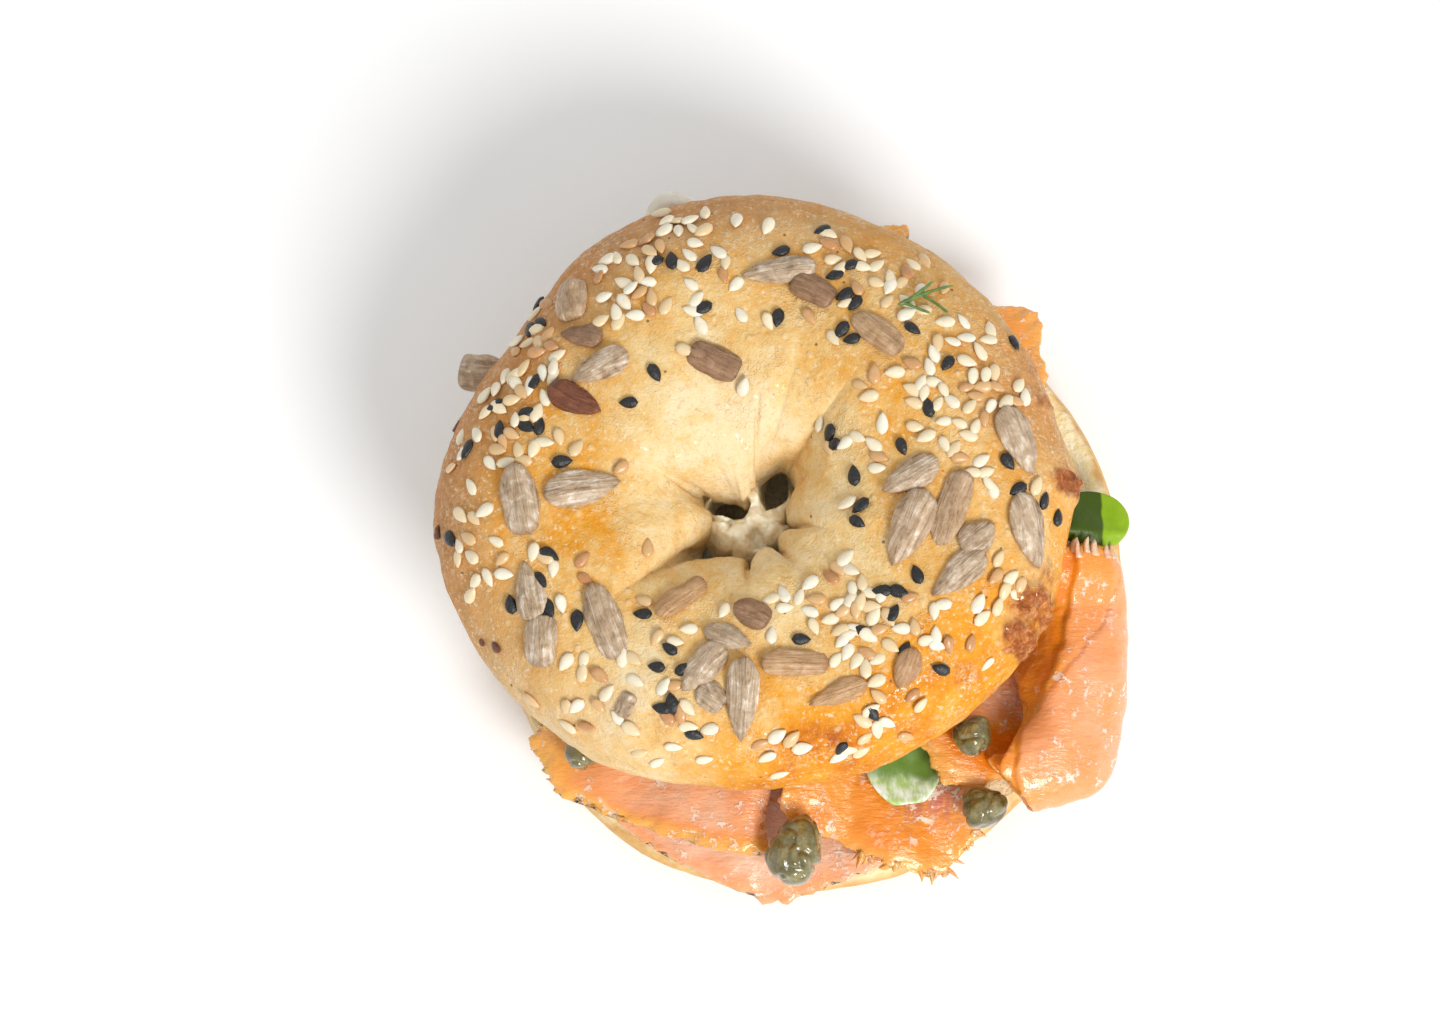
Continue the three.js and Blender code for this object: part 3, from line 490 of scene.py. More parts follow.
CAPER_SWELL = 1.1
caper = caper_finish()
for seed, node in enumerate(sorted(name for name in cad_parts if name.startswith("caper_"))):
    bud = soft_copy(node)
    points, normals = points_of(bud), normals_of(bud)
    seams = np.maximum(1 - np.abs(grain(points, 4, 1, seed + 20)) * 4, 0) ** 2
    seam_depth = 0.7 if node == "caper_1" else 0.4
    points += normals * (0.35 * grain(points, 3, 2, seed + 30) - seam_depth * seams)[:, None]
    move_points(bud, points.mean(0) + (points - points.mean(0)) * CAPER_SWELL)
    caper.on(bud)
    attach(bud, "root")
    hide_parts(node)


# Leaves: fresh green salad leaves. The one at the right is smooth and bright, with the top half's shadow
# painted on its darker half; the one turned down at the front pales to a painted whitish sheen at its tip.
def leaf_finish(name, dark, light, sheen, shine):
    blade = Finish(name)
    # half is 1 on the side towards the top half's edge. On the right leaf its darker green is a painted
    # shadow of the top half; on the front leaf the colour is darker towards the top half.
    half = blade.value("half")
    skin = blade.tones(half + (blade.specks(5, 3) - 0.5) * 0.5, (0.25, light), (0.75, dark))
    lines = blade.specks(1, 3, (2.5, 0.6, 1))
    # Painted highlight: a whitish sheen in streaky patches, mixed into the colour on the lighter side of
    # the leaf.
    gloss = (lines * 0.3 + blade.specks(2.6, 3) * 0.7).ramp(0.38, 0.6) * shine
    blade.set(
        Base_Color=blade.mix(gloss * (1 - half), skin, sheen), Roughness=0.4, Specular_IOR_Level=0.3,
        Normal=blade.relief(lines, 0.06, blade.relief(blade.specks(2.4), 0.2)), Subsurface_Weight=0.12,
        Subsurface_Radius=(0.001, 0.002, 0.0005),
    )
    return blade


def rounded_outline(points):
    """The same leaf with its outline drawn through as one smooth curve."""
    middle = (points[:, :2].min(0) + points[:, :2].max(0)) / 2
    off = points[:, :2] - middle
    turn, far = np.arctan2(off[:, 1], off[:, 0]), np.hypot(off[:, 0], off[:, 1])
    round_turn, steps, kept_waves = 2 * math.pi, 96, 5
    place = np.floor((turn + math.pi) / round_turn * steps).astype(int) % steps
    reach = np.array([far[place == k].max() for k in range(steps)])
    waves = np.fft.rfft(reach)
    waves[kept_waves:] = 0
    smooth = np.fft.irfft(waves, steps)
    around = (np.arange(steps) + 0.5) / steps * round_turn - math.pi
    smooth, rough = (np.interp(turn, around, line, period=round_turn) for line in (smooth, reach))
    moved = points.copy()
    moved[:, :2] = middle + off * (smooth / rough)[:, None]
    return moved


# For each leaf: the line across which it turns from its darker half to its lighter one (on the right leaf,
# the painted edge of the top half's shadow), and its finish.
for node, (near_side, far_side), finish in (
    (
        "leaf_right", ((50.4, 0), (51.2, 0)),
        leaf_finish("leaf_green", rgb(66, 90, 0), rgb(140, 182, 8), rgb(176, 204, 60), 0.2),
    ),
    (
        "leaf_front", ((0, -36.5), (0, -41)),
        leaf_finish("leaf_pale", rgb(112, 146, 58), rgb(186, 214, 128), rgb(248, 252, 240), 1.0),
    ),
):
    blade = soft_copy(node)
    points = points_of(blade)
    points[:, 2] += 0.3 * grain(points * np.array([1, 1, 0.01]), 4, 2, 31)
    if node == "leaf_right":
        points = rounded_outline(points)
        points[:, 2] -= 2.6 * step(0.8, -2.2, points[:, 1])
    move_points(blade, points)
    way = np.array(far_side) - np.array(near_side)
    share = (points[:, :2] - np.array(near_side)) @ way / (way @ way)
    # The side towards the top half's edge takes the darker green: on the right leaf this is painted shade.
    paint(blade, "half", 1 - step(0, 1, share + 0.3 * grain(points, 3, 2, 32)))
    finish.on(blade)
    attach(blade, "root")
    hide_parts(node)


# Cream cheese: a thick soft spread, smeared with a knife, that comes down to the salmon and leaves a
# lumpy web across the hole.
def cheese_finish():
    spread = Finish("cream_cheese")
    deep = spread.value("deep")
    body = spread.tones(spread.specks(4, 3), (0.3, rgb(232, 222, 200)), (0.7, rgb(252, 246, 230)))
    # Painted light: deep in the hole the cheese is warmer and brighter, for warm light bounced off the
    # dough into the hole's shade.
    warm = spread.tones(spread.specks(2.2, 4), (0.3, rgb(246, 222, 176)), (0.6, rgb(272, 264, 236)))
    curds = spread.relief(spread.specks(1.2, 4), 0.25, spread.relief(spread.specks(5, 2), 0.5))
    spread.set(
        Base_Color=spread.mix(deep, body, warm), Normal=curds, Roughness=0.42, Subsurface_Weight=0.25,
        Subsurface_Radius=(0.002, 0.0015, 0.001), Coat_Weight=0.15,
    )
    return spread


HOLE_MIDDLE = np.array([-3.3, 0.4]) - MIDDLE
WEB_OPENINGS = [((-3, 2.4), (5, 3.2)), ((3.9, 6), (3.2, 6.6))]
CURDS = {"count": 55, "within": 7.5, "smallest": 0.9, "range": 1.3, "lift": 1.2}
OOZE = {"azimuth": 105, "width": 5, "out": 3, "up": 4}


def finer_near(piece, middle, reach):
    """Splits the faces near a place in four, where small lumps need them."""
    mesh = bmesh.new()
    mesh.from_mesh(piece.data)
    split = [
        edge for edge in mesh.edges
        if all(math.hypot(v.co.x / MM - middle[0], v.co.y / MM - middle[1]) < reach for v in edge.verts)
    ]
    bmesh.ops.subdivide_edges(mesh, edges=split, cuts=1, use_grid_fill=True)
    mesh.to_mesh(piece.data)
    mesh.free()


def evenly_meshed(piece, size):
    """The same form in small even squares, so that lumps can be raised anywhere on it."""
    even = piece.modifiers.new("even", "REMESH")
    even.mode = "VOXEL"
    even.voxel_size = size * MM
    settle(piece)


cheese = soft_copy("cream_cheese", 2)
evenly_meshed(cheese, 0.5)
finer_near(cheese, HOLE_MIDDLE, 10)
points, normals = points_of(cheese), normals_of(cheese)
off = points[:, :2] - HOLE_MIDDLE
away = np.hypot(off[:, 0], off[:, 1])
side = step(34, 40, away) * (1 - np.abs(normals[:, 2]))
points += normals * np.array([1, 1, 0]) * (side * (0.9 * grain(points, 5, 3, 41) - 0.3))[:, None]
in_hole = 1 - step(7, 9.5, away)
for at, size in WEB_OPENINGS:
    gone = off - np.array(at)
    share = np.hypot(gone[:, 0] / size[0], gone[:, 1] / size[1]) * 2
    push = 0.3 * np.exp(-(np.maximum(share - 1, 0) ** 2)) * (1 + 0.8 * grain(points, 2.2, 2, 43))
    points[:, :2] += gone * (push * in_hole)[:, None]
draw = draw_from(8)
curds = np.zeros(len(points))
for k in range(CURDS["count"]):
    turn, far = 2 * math.pi * next(draw), CURDS["within"] * math.sqrt(next(draw))
    size = CURDS["smallest"] + CURDS["range"] * next(draw)
    from_curd = np.hypot(off[:, 0] - far * math.cos(turn), off[:, 1] - far * math.sin(turn))
    lump = np.sqrt(np.maximum(size**2 - from_curd**2, 0))
    lump += CURDS["lift"] * next(draw) * step(size, 0.7 * size, from_curd)
    curds = (curds**5 + lump**5) ** 0.2
heaped = 5.5 * (1 - step(3.5, 8, away)) + 1.8
points[:, 2] += in_hole * (heaped + curds) * step(0.1, 0.6, normals[:, 2])
points[:, 2] += in_hole * 0.35 * grain(points, 1.2, 2, 42)
turned = np.degrees(np.arctan2(off[:, 1], off[:, 0])) - OOZE["azimuth"]
ooze = np.exp(-((turned / OOZE["width"]) ** 2)) * step(36, 46, away)
pressed_out = OOZE["out"] * ooze
points[:, :2] += off / away[:, None] * pressed_out[:, None]
points[:, 2] += OOZE["up"] * ooze * step(50, 55, away + pressed_out)
points[:, 2] -= 0.4 * (1 - step(9, 12, away)) * (1 - in_hole) * (normals[:, 2] > 0)
move_points(cheese, points)
# How much of the painted warm bounce light the cheese takes, in the hole.
paint(cheese, "deep", 1 - step(8, 11, away))
cheese_finish().on(cheese)
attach(cheese, "root")
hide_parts("cream_cheese")


# Top half of the roll: a domed ring pinched round a small hole, pale where the dough drew together
# and golden over the crown, with pink-brown sides, a burst at the right and blistered skin.
LID = {
    "height": 21, "widest": 5, "tuck": 1.8, "crown": 0.55,
    "outer_power": 2.3, "inner_power": 2.4, "lip": 0.9, "cut": 28.4, "rise": (0.03, -0.045),
    "radii": [
        50.2, 51, 51.6, 51.7, 52.2, 53, 51.4, 48.2, 49.2, 50.3, 48.3, 46.4, 45, 43, 43.3, 44.7, 46.8, 49.4,
    ],
    "hole": [5.9, 7.2, 9, 9.4, 4.2, 2.6, 3.6, 5.6, 7.2, 5.7, 6.8, 9.2, 7.6, 6.4, 6.2, 5.8, 6, 5.9],
    "burst": (5, 7, 1.6), "sides": 640,
}
# Where each crease starts round the hole, how deep it is and how far it runs out.
CREASES = [
    (50, 3.2, 11), (70, 2.2, 12), (155, 2.8, 7), (215, 4.2, 9), (272, 1.2, 3.5), (312, 1, 3.5),
    (345, 0.9, 5),
]
CREASE = {"at_hole": 0.5, "spread": 0.06, "lobes": 0.5}


def round_curve(values, azimuth):
    """A smooth closed curve through evenly spaced values round the circle."""
    values = np.asarray(values, float)
    count = len(values)
    place = np.mod(azimuth / 360, 1) * count
    start = np.floor(place).astype(int)
    t = place - start
    a, b, c, d = (values[np.mod(start + k, count)] for k in (-1, 0, 1, 2))
    return b + 0.5 * t * (c - a + t * (2 * a - 5 * b + 4 * c - d + t * (3 * (b - c) + d - a)))


def turn_between(a, b):
    return np.mod(a - b + 180, 360) - 180


def near(turn, at, width):
    return np.exp(-((turn_between(turn, at) / width) ** 2))


def lid_outline(azimuth):
    at, width, swell = LID["burst"]
    return round_curve(LID["radii"], azimuth) + swell * near(azimuth, at, width)


def lobes(azimuth):
    """Each lobe of dough: its span, how far across it a point is, and the creases on both sides."""
    for k, crease in enumerate(CREASES):
        after = CREASES[(k + 1) % len(CREASES)]
        span = (after[0] - crease[0]) % 360
        yield span, np.mod(azimuth - crease[0], 360) / span, crease, after


def crease_near(azimuth, radius):
    """How far the nearest crease is, in millimetres, and the share of the lobe that lies behind."""
    arc, share = np.full(azimuth.shape, 99.0), np.zeros(azimuth.shape)
    for span, t, _, _ in lobes(azimuth):
        share = np.where(t < 1, t, share)
        arc = np.where(t < 1, np.radians(span * np.minimum(t, 1 - t)) * radius, arc)
    return arc, share


def pinch(azimuth, radius, out):
    """How deep the drawn-in creases of the dough are."""
    depth = np.zeros(np.broadcast(azimuth, out).shape)
    for span, share, (at, deep, reach), (after, next_deep, next_reach) in lobes(azimuth):
        t = np.where(share < 1, share, 0.5)
        deepest = deep + (next_deep - deep) * t
        run = reach + (next_reach - reach) * t
        arc = np.radians(span * np.minimum(t, 1 - t)) * radius
        soft = np.where(t < 0.5, at, after) < 90
        groove = np.exp(-arc / np.where(soft, 1.1 + 0.15 * out, CREASE["at_hole"] + CREASE["spread"] * out))
        between = CREASE["lobes"] * (1 - 2 * np.sqrt(t * (1 - t)))
        depth = np.where(share < 1, deepest * np.exp(-((out / run) ** 2)) * (groove + between), depth)
    return depth


def lumps(radius, azimuth):
    turn = np.radians(azimuth)
    wide = 0.45 * np.sin(3 * turn + 0.7) + 0.35 * np.sin(5 * turn + radius / 8)
    return wide + 0.2 * np.sin(9 * turn - radius / 5)


def crust_height(radius, azimuth):
    outer, inner = lid_outline(azimuth), round_curve(LID["hole"], azimuth)
    crown = inner + (outer - inner) * LID["crown"]
    out = np.clip((radius - crown) / (outer - crown), 0, 1)
    outside = LID["widest"] + (LID["height"] - LID["widest"] + lumps(radius, azimuth)) * (
        1 - out ** LID["outer_power"]
    ) ** (1 / LID["outer_power"])
    into = np.clip((crown - radius) / (crown - inner), 0, 1)
    lip = LID["inner_power"] + LID["lip"] * near(azimuth, 275, 75)
    inside = (LID["height"] + lumps(radius, azimuth) - pinch(azimuth, radius, radius - inner)) * (
        1 - into ** lip
    ) ** (1 / lip)
    return np.where(radius >= crown, outside, inside)


def on_lid(points):
    """Points given from the hole's middle and the cut face, put in the frame's place and lean."""
    placed = points.copy()
    placed[:, 2] += LID["cut"] + points[:, 0] * LID["rise"][0] + points[:, 1] * LID["rise"][1]
    placed[:, :2] += HOLE_MIDDLE
    return placed


def lid_ring():
    azimuth = (np.arange(LID["sides"]) * 360 / LID["sides"])[:, None]
    outer, inner = lid_outline(azimuth), round_curve(LID["hole"], azimuth)
    crown = inner + (outer - inner) * LID["crown"]
    angle = np.radians(np.linspace(0, 90, 56))[None, :]
    over = crown + (outer - crown) * np.cos(angle)
    angle = np.radians(np.linspace(90, 177, 64)[1:])[None, :]
    into = crown + (crown - inner) * np.cos(angle)
    radius = np.concatenate([over, into], 1)
    height = np.maximum(crust_height(radius, azimuth), 0.8)
    edge = np.linspace(0, 1, 10)[None, :-1]
    side = outer - LID["tuck"] * (1 - edge) ** 2
    radius = np.concatenate([side, radius, inner, inner + 0.6], 1)
    height = np.concatenate([LID["widest"] * edge + 0 * side, height, 1.2 + 0 * inner, 0 * inner], 1)
    face = np.linspace(0, 1, 16)[None, 1:-1]
    face = inner + 0.6 + (outer - LID["tuck"] - inner - 0.6) * face
    radius = np.concatenate([radius, face], 1)
    height = np.concatenate([height, 0 * face], 1)
    piece = ring_mesh("top_half", radius, height, MIDDLE)
    points = points_of(piece)
    normals = normals_of(piece)
    away = np.hypot(points[:, 0], points[:, 1])
    turn = np.degrees(np.arctan2(points[:, 1], points[:, 0]))
    skin = step(0.5, 2, points[:, 2])
    around = points[:, :2] / away[:, None]
    outline = lid_outline(turn)
    folds = grain(np.column_stack([around * 3, away * 0.08]), 1, 2, 2) * (1 - step(9, 24, away)) * 0.4
    lines = grain(np.column_stack([around * 9, away * 0.2]), 1, 2, 12) * (1 - step(9, 19, away)) * 0.06
    out_of_hole = away - round_curve(LID["hole"], turn)
    arc, share = crease_near(turn, away)
    below = 1 - near(turn, 60, 30)
    folds += 1.5 * (2 * np.sqrt(share * (1 - share)) - 0.6) * np.exp(-((out_of_hole / 5) ** 2)) * below
    folds -= 1.1 * np.exp(-arc / 0.4) * np.exp(-((out_of_hole / 4) ** 2)) * below
    right_of = points[:, 0] - 1.4 - 0.04 * points[:, 1]
    lap = 0.8 * np.exp(-((right_of / 0.35) ** 2))
    lap += 0.5 * step(-0.2, 0.5, right_of) * np.exp(-np.maximum(right_of, 0) / 3.5)
    folds -= lap * step(3, 6, points[:, 1]) * (1 - step(13, 20, points[:, 1]))
    wrinkles = grain(np.column_stack([around * 5, away * 0.7 - points[:, 2] * 0.5]), 1, 3, 3)
    wrinkles *= step(outline - 8, outline - 2, away) * 0.26
    dents = 0.34 * grain(points, 8, 3, 5) + 0.1 * grain(points, 2.6, 2, 6)
    caught = burning(points)
    knobs = caught * (0.7 + 1.3 * grain(points, 1.9, 3, 9))
    points += normals * ((folds + lines + wrinkles + dents + knobs) * skin)[:, None]
    paint(piece, "cut", 1 - step(0.05, 0.5, points[:, 2]))
    paint(piece, "baked", baking(points, away, turn))
    pink = np.minimum(1.4 * near(turn, 140, 72) + 0.8 * near(turn, 20, 16), 1)
    paint(piece, "rim", step(outline - 17, outline - 2, away) * pink)
    paint(piece, "burnt", caught)
    move_points(piece, on_lid(points))
    return piece


def baking(points, away, turn):
    """How brown the crust is: 0 in the pinched hole, about 0.5 on the crown, 1 where it caught."""
    tone = 0.02 + 0.12 * (1 - near(turn, 105, 45)) + 0.32 * step(12, 27, away)
    tone += 0.12 * near(turn, 190, 26) * step(12, 20, away) * (1 - step(24, 38, away))
    tone -= 0.05 * near(turn, 20, 45) * step(18, 34, away)
    tone += 0.22 * near(turn, -38, 26) * step(31, 39, away)
    tone += 0.28 * near(turn, -75, 22) * step(30, 39, away)
    tone -= 0.12 * near(turn, -45, 35) * step(12, 20, away) * (1 - step(27, 35, away))
    tone -= 0.34 * near(turn, 232, 26) * step(20, 30, away)
    tone -= 0.12 * near(turn, 115, 25) * (1 - step(24, 34, away))
    tone += 0.04 * near(turn, 160, 30) * step(30, 38, away)
    return tone + 0.2 * grain(points, 10, 3, 7) + 0.1 * grain(points, 2.8, 3, 8)


def burning(points):
    """The dark caught lumps along the right-hand edge."""
    dark = np.zeros(len(points))
    for x, y, size, amount in (
        (50.2, 4.2, 2.6, 1.0), (44.6, -15.5, 4.2, 0.8), (42.6, -20.4, 3.4, 1.0), (46, -10.5, 3, 0.5),
        (46.5, 17, 1.8, 0.5), (44.6, 22, 1.3, 0.4), (-46.3, 20.4, 1, 0.4),
    ):
        off = np.hypot(points[:, 0] - x, points[:, 1] - y) / size
        dark = np.maximum(dark, amount * np.exp(-(off ** 3)))
    return dark * np.clip(0.85 + 0.5 * grain(points, 1.8, 3, 9), 0, 1.2)


def lid_finish():
    crust = Finish("baked_crust")
    baked, burnt, cut, rim = (crust.value(name) for name in ("baked", "burnt", "cut", "rim"))
    mottle = crust.specks(3.4, 3) * 0.45 + crust.specks(1.1, 4) * 0.35 + crust.specks(0.4, 3) * 0.2
    tone = baked + (mottle - 0.5) * 0.95
    skin = crust.tones(
        tone, (0.0, rgb(254, 230, 183)), (0.2, rgb(249, 213, 147)), (0.42, rgb(242, 188, 106)),
        (0.62, rgb(242, 165, 46)), (0.86, rgb(224, 134, 24)), (1.0, rgb(184, 94, 32)),
    )
    edge = crust.tones(
        mottle, (0.38, rgb(178, 112, 66)), (0.5, rgb(204, 142, 90)), (0.62, rgb(222, 170, 118))
    )
    sides = crust.mix((rim * 0.85 * (0.6 + mottle * 0.8)).least(1.0), skin, edge)
    pimples = crust.cells(1.9)
    pick = crust.node("SeparateColor", Color=crust.cells(1.9, out=1))
    blisters = (1 - pimples.ramp(0.1, 0.44)) * pick.ramp(0.6, 0.75) * baked.ramp(0.16, 0.4)
    cracks = 1 - crust.cells(0.9, "DISTANCE_TO_EDGE").ramp(0.0, 0.14)
    crazing = cracks * crust.specks(7, 2).ramp(0.5, 0.62)
    # Pale specks: partly the crust's own pale pores and partly painted sandy glints.
    dots = crust.specks(0.75, 3).ramp(0.56, 0.68) * (0.3 + crust.specks(5, 2).ramp(0.4, 0.6) * 0.4)
    pores = crust.specks(0.8, 3, distortion=0.6).ramp(0.46, 0.3) * 0.3
    dotted = crust.mix(pores, crust.mix(dots, sides, rgb(254, 234, 196)), rgb(204, 134, 62))
    # Blisters and crazed patches turn paler: partly their own paler skin and partly painted whitish gloss.
    pale = crust.mix((blisters * 0.35 + crazing * 0.3).least(1.0), dotted, rgb(254, 232, 190))
    freckle = (1 - crust.cells(5.2).ramp(0.03, 0.07)) * 0.8
    freckled = crust.mix(freckle, pale, rgb(120, 74, 36))
    blotch = crust.specks(1.8, 4) * 0.7 + crust.specks(0.5, 3) * 0.3
    char = crust.tones(
        blotch, (0.36, rgb(108, 46, 18)), (0.5, rgb(166, 82, 36)), (0.64, rgb(222, 154, 100))
    )
    caught = crust.mix(burnt.ramp(0.1, 0.7) * 0.9, freckled, char)
    crumb = crust.tones(crust.specks(1.6, 4), (0.3, rgb(226, 200, 160)), (0.6, rgb(250, 238, 214)))
    fine = crust.relief(crust.specks(0.35, 2), 0.09)
    skin_relief = crust.relief(crust.specks(1.4, 4), 0.28, fine)
    raised = crust.relief(blisters + crazing * 0.35, 0.16, skin_relief)
    glints = crust.specks(0.6, 3, distortion=0.5).ramp(0.58, 0.62) * crust.specks(6, 3).ramp(0.36, 0.6)
    crust.set(
        Base_Color=crust.mix(cut, caught, crumb), Normal=raised, Roughness=0.6, Specular_IOR_Level=0.12,
        Coat_Weight=glints * (1 - cut), Coat_Roughness=0.14, Subsurface_Weight=0.06,
        Subsurface_Radius=(0.003, 0.0018, 0.001),
    )
    return crust


top_half = lid_ring()
lid_finish().on(top_half)
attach(top_half, "root")
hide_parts("bagel_top")


# Seeds: hulled sunflower kernels, white sesame and black sesame, stuck to the wet dough before
# baking. Each lies a little sunk in the crust; the pale ones are toasted by different amounts.
KERNELS = [
    (-27.2, 33.6, 100, 7.4, 5.4), (-25.4, 27.4, 165, 7.4, 4), (-22.4, 22.2, 205, 10, 4.8),
    (-26.4, 17.2, 335, 9.4, 4.8), (-4.6, 23, 335, 8.4, 4.8), (5.6, 37.4, 188, 12, 4.6),
    (11, 34.2, 330, 7.2, 4.6), (21, 26.8, 320, 9.6, 4.6), (-34.8, 1.4, 280, 11.4, 6),
    (-25.2, 3, 10, 12.2, 5.8), (-33.2, -13, 100, 9.6, 5), (-31.2, -20.8, 265, 8, 5.2),
    (-21.4, -18, 290, 12.4, 5.6), (-9.8, -14.6, 40, 9.6, 4), (1.4, -17.2, 330, 6.2, 4.6),
    (-2.2, -20.8, 340, 8, 4), (-6, -25.6, 230, 9.8, 5), (-4.8, -30, 320, 5, 4.4),
    (0, -30.4, 268, 13.2, 5.4), (8, -25, 0, 10.2, 4.2), (14.6, -29.6, 200, 9.6, 3.6),
    (25.2, -25.8, 250, 6.8, 4.4), (26, 4, 210, 10, 5.2), (25.8, -4.2, 245, 13, 6.6),
    (32.2, -1.2, 70, 12.2, 5), (36.2, -5.6, 40, 6.6, 5.2), (33.2, -11.4, 220, 10.6, 5.2),
    (42.4, 9.6, 300, 11.6, 5.8), (43.8, -4.2, 290, 12.4, 6), (-18, -31, 60, 4, 3),
    (-43.4, 24.6, 170, 7, 6.4),
]
BROKEN_KERNELS = {
    **dict.fromkeys((0, 4, 6, 11, 19, 29, 30), "block"),
    **dict.fromkeys((7, 8, 12, 13, 14, 17, 24), "blunt"),
}
KERNEL_BROWN = {
    0: 0.3, 1: 0.72, 3: 1.0, 4: 0.68, 6: 0.6, 7: 0.35, 13: 0.42, 14: 0.62, 19: 0.4, 20: 0.5, 21: 0.55,
    23: 0.25, 24: 0.3,
}
# Sesame lies in drifts: the middle of each, how wide it spreads, and how many seeds fall in it.
SESAME_PATCHES = [
    (-9, 46, 6, 9), (-20, 36, 8, 19), (-32, 28, 6, 19), (-35, 15, 8, 43), (-42, 8, 6, 12),
    (-40, -7, 8, 19), (-30, -14, 8, 13), (-24, -26, 10, 17), (-13, -20, 7, 9), (-10, -34, 8, 14),
    (-6, 34, 7, 16), (3, 45, 8, 7), (15, 38, 7, 18), (27, 34, 6, 13), (33, 22, 8, 28), (38, 8, 7, 24),
    (23, 14, 9, 15), (16, 3, 7, 11), (12, -16, 9, 46), (21, -20, 8, 26), (20, -30, 9, 23),
    (38, -14, 6, 15), (6, -31, 9, 15), (-4, -13, 7, 7), (8, -38, 8, 8), (0, 0, 45, 35),
]
SESAME = {"length": 3.2, "width": 1.9, "thickness": 1.1, "spacing": 1.75}
# More seeds fall between and on the first ones here.
THICK_PATCHES = [
    (-34, 17, 7, 26), (-32, 29, 5, 10), (-21, 35, 6, 14), (14, -17, 7, 30), (20, -21, 6, 22),
    (33, 22, 7, 20), (37, 9, 6, 16), (38, -14, 5, 12), (18, 36, 6, 12), (-40, -4, 7, 10),
    (-10, 44, 6, 8), (18, -30, 8, 10), (-8, -32, 8, 8), (-26, -24, 8, 8), (0, 0, 46, 26),
    (39, 14, 6, 18), (41, 4, 6, 12), (37, -9, 6, 12), (28, 14, 7, 12), (30, -17, 6, 8), (24, 20, 6, 8),
    (40, -12, 4, 8),
]
BLACK_SESAME = [
    (-33.2, 34.4, 200), (-32.3, 30.4, 325), (-34.2, 29.5, 300), (-13.9, 39.3, 200), (-11.3, 39.3, 100),
    (-6.1, 38.7, 55), (-6.3, 31.4, 210), (-13.8, 21.0, 300), (-17.9, 16.4, 180), (-32.9, 20.3, 60),
    (-39.2, 16.9, 200), (-33.9, 15.3, 10), (-38.4, 12.8, 90), (-34.0, 13.0, 330), (-31.9, 12.9, 75),
    (-43.7, 10.1, 250), (-28.3, 7.2, 5), (12.2, 44.4, 215), (5.8, 40.7, 200), (16.7, 38.1, 215),
    (14.3, 36.5, 200), (15.9, 33.2, 210), (17.5, 31.7, 230), (5.4, 29.7, 260), (15.4, 27.4, 230),
    (17.0, 25.9, 190), (26.4, 27.4, 325), (42.0, 26.2, 260), (31.8, 21.7, 235), (28.9, 14.7, 100),
    (13.5, 11.6, 235), (14.2, 9.7, 200), (24.7, 8.7, 290), (17.3, 4.5, 95), (40.9, 6.2, 310),
    (42.4, 2.0, 210), (-46.3, -3.9, 330), (-30.1, -7.5, 330), (-31.5, -11.4, 310), (-30.2, -15.8, 300),
    (-36.2, -14.9, 95), (-25.7, -17.9, 270), (-15.5, -17.0, 175), (-11.2, -22.6, 145),
    (-13.2, -25.4, 170), (-9.1, -25.8, 30), (-10.8, -31.0, 100), (-12.4, -31.7, 170), (-7.5, -35.6, 340),
    (18.3, -0.5, 215), (17.8, -3.0, 330), (26.9, -11.5, 110), (21.5, -13.9, 180), (24.1, -14.1, 340),
    (23.2, -17.4, 60), (18.4, -20.0, 150), (24.9, -22.9, 60), (30.3, -25.8, 155), (19.8, -32.5, 305),
    (14.9, -37.5, 250), (48.4, -1.7, 90), (46.4, 0.5, 80), (9.0, -21.3, 0),
]
SUNK = 0.3
KERNEL_THICKNESS = 0.54


def gap(a, b):
    """How far apart two seeds lie in plan."""
    return math.hypot(a[0] - b[0], a[1] - b[1])


def off_kernels(seed):
    return all(gap(seed, k) > k[3] / 2 for k in KERNELS)


def fallen(patches, smallest, bare, rim, clear, draw):
    """Seeds that fell in drifts between the bare middle and the rim, where they lie clear."""
    seeds = []
    for x, y, spread, count in patches:
        for _ in range(count):
            out = spread * math.sqrt(next(draw))
            turn = 2 * math.pi * next(draw)
            px, py = x + out * math.cos(turn), y + out * math.sin(turn)
            seed = (px, py, 360 * next(draw), smallest + 0.24 * next(draw))
            edge = float(lid_outline(np.degrees(np.arctan2(py, px)))) - rim
            if bare < math.hypot(px, py) < edge and clear(seed, seeds):
                seeds.append(seed)
    return seeds


def first_clear(seed, others):
    return all(gap(seed, s) > SESAME["spacing"] for s in others)


def later_clear(seed, others):
    """Later seeds may overlap the first ones, but not the black ones or the kernels."""
    apart = min(gap(seed, s) for s in first_seeds + others) > 1.35
    return apart and all(gap(seed, s) > 1.9 for s in BLACK_SESAME) and off_kernels(seed)


def height_at(x, y):
    return float(crust_height(np.hypot(x, y), np.degrees(np.arctan2(y, x))))


def resting(x, y, heading, sink, roll=0.0, pitch=0.0):
    """The axes and place of a seed that lies on the crust."""
    slope_x = min(max((height_at(x + 0.4, y) - height_at(x - 0.4, y)) / 0.8, -4), 4)
    slope_y = min(max((height_at(x, y + 0.4) - height_at(x, y - 0.4)) / 0.8, -4), 4)
    normal = Vector((-slope_x, -slope_y, 1)).normalized()
    along = Vector((math.cos(math.radians(heading)), math.sin(math.radians(heading)), 0))
    along = (along - normal * along.dot(normal)).normalized()
    along = (along + normal * math.tan(pitch)).normalized()
    across = normal.cross(along).normalized()
    across = (across * math.cos(roll) + normal * math.sin(roll)).normalized()
    up = along.cross(across)
    place = Vector((x, y, height_at(x, y))) + normal * sink
    return np.array([along, across, up]), np.array(place)


def taper(t, widest):
    """A seed's width along its length: round at the blunt end and pointed at the tip."""
    if t < widest:
        return math.sqrt(max(1 - ((widest - t) / widest) ** 2, 0.004))
    return max(math.cos(math.pi / 2 * (t - widest) / (1 - widest)) ** 0.75, 0.04)


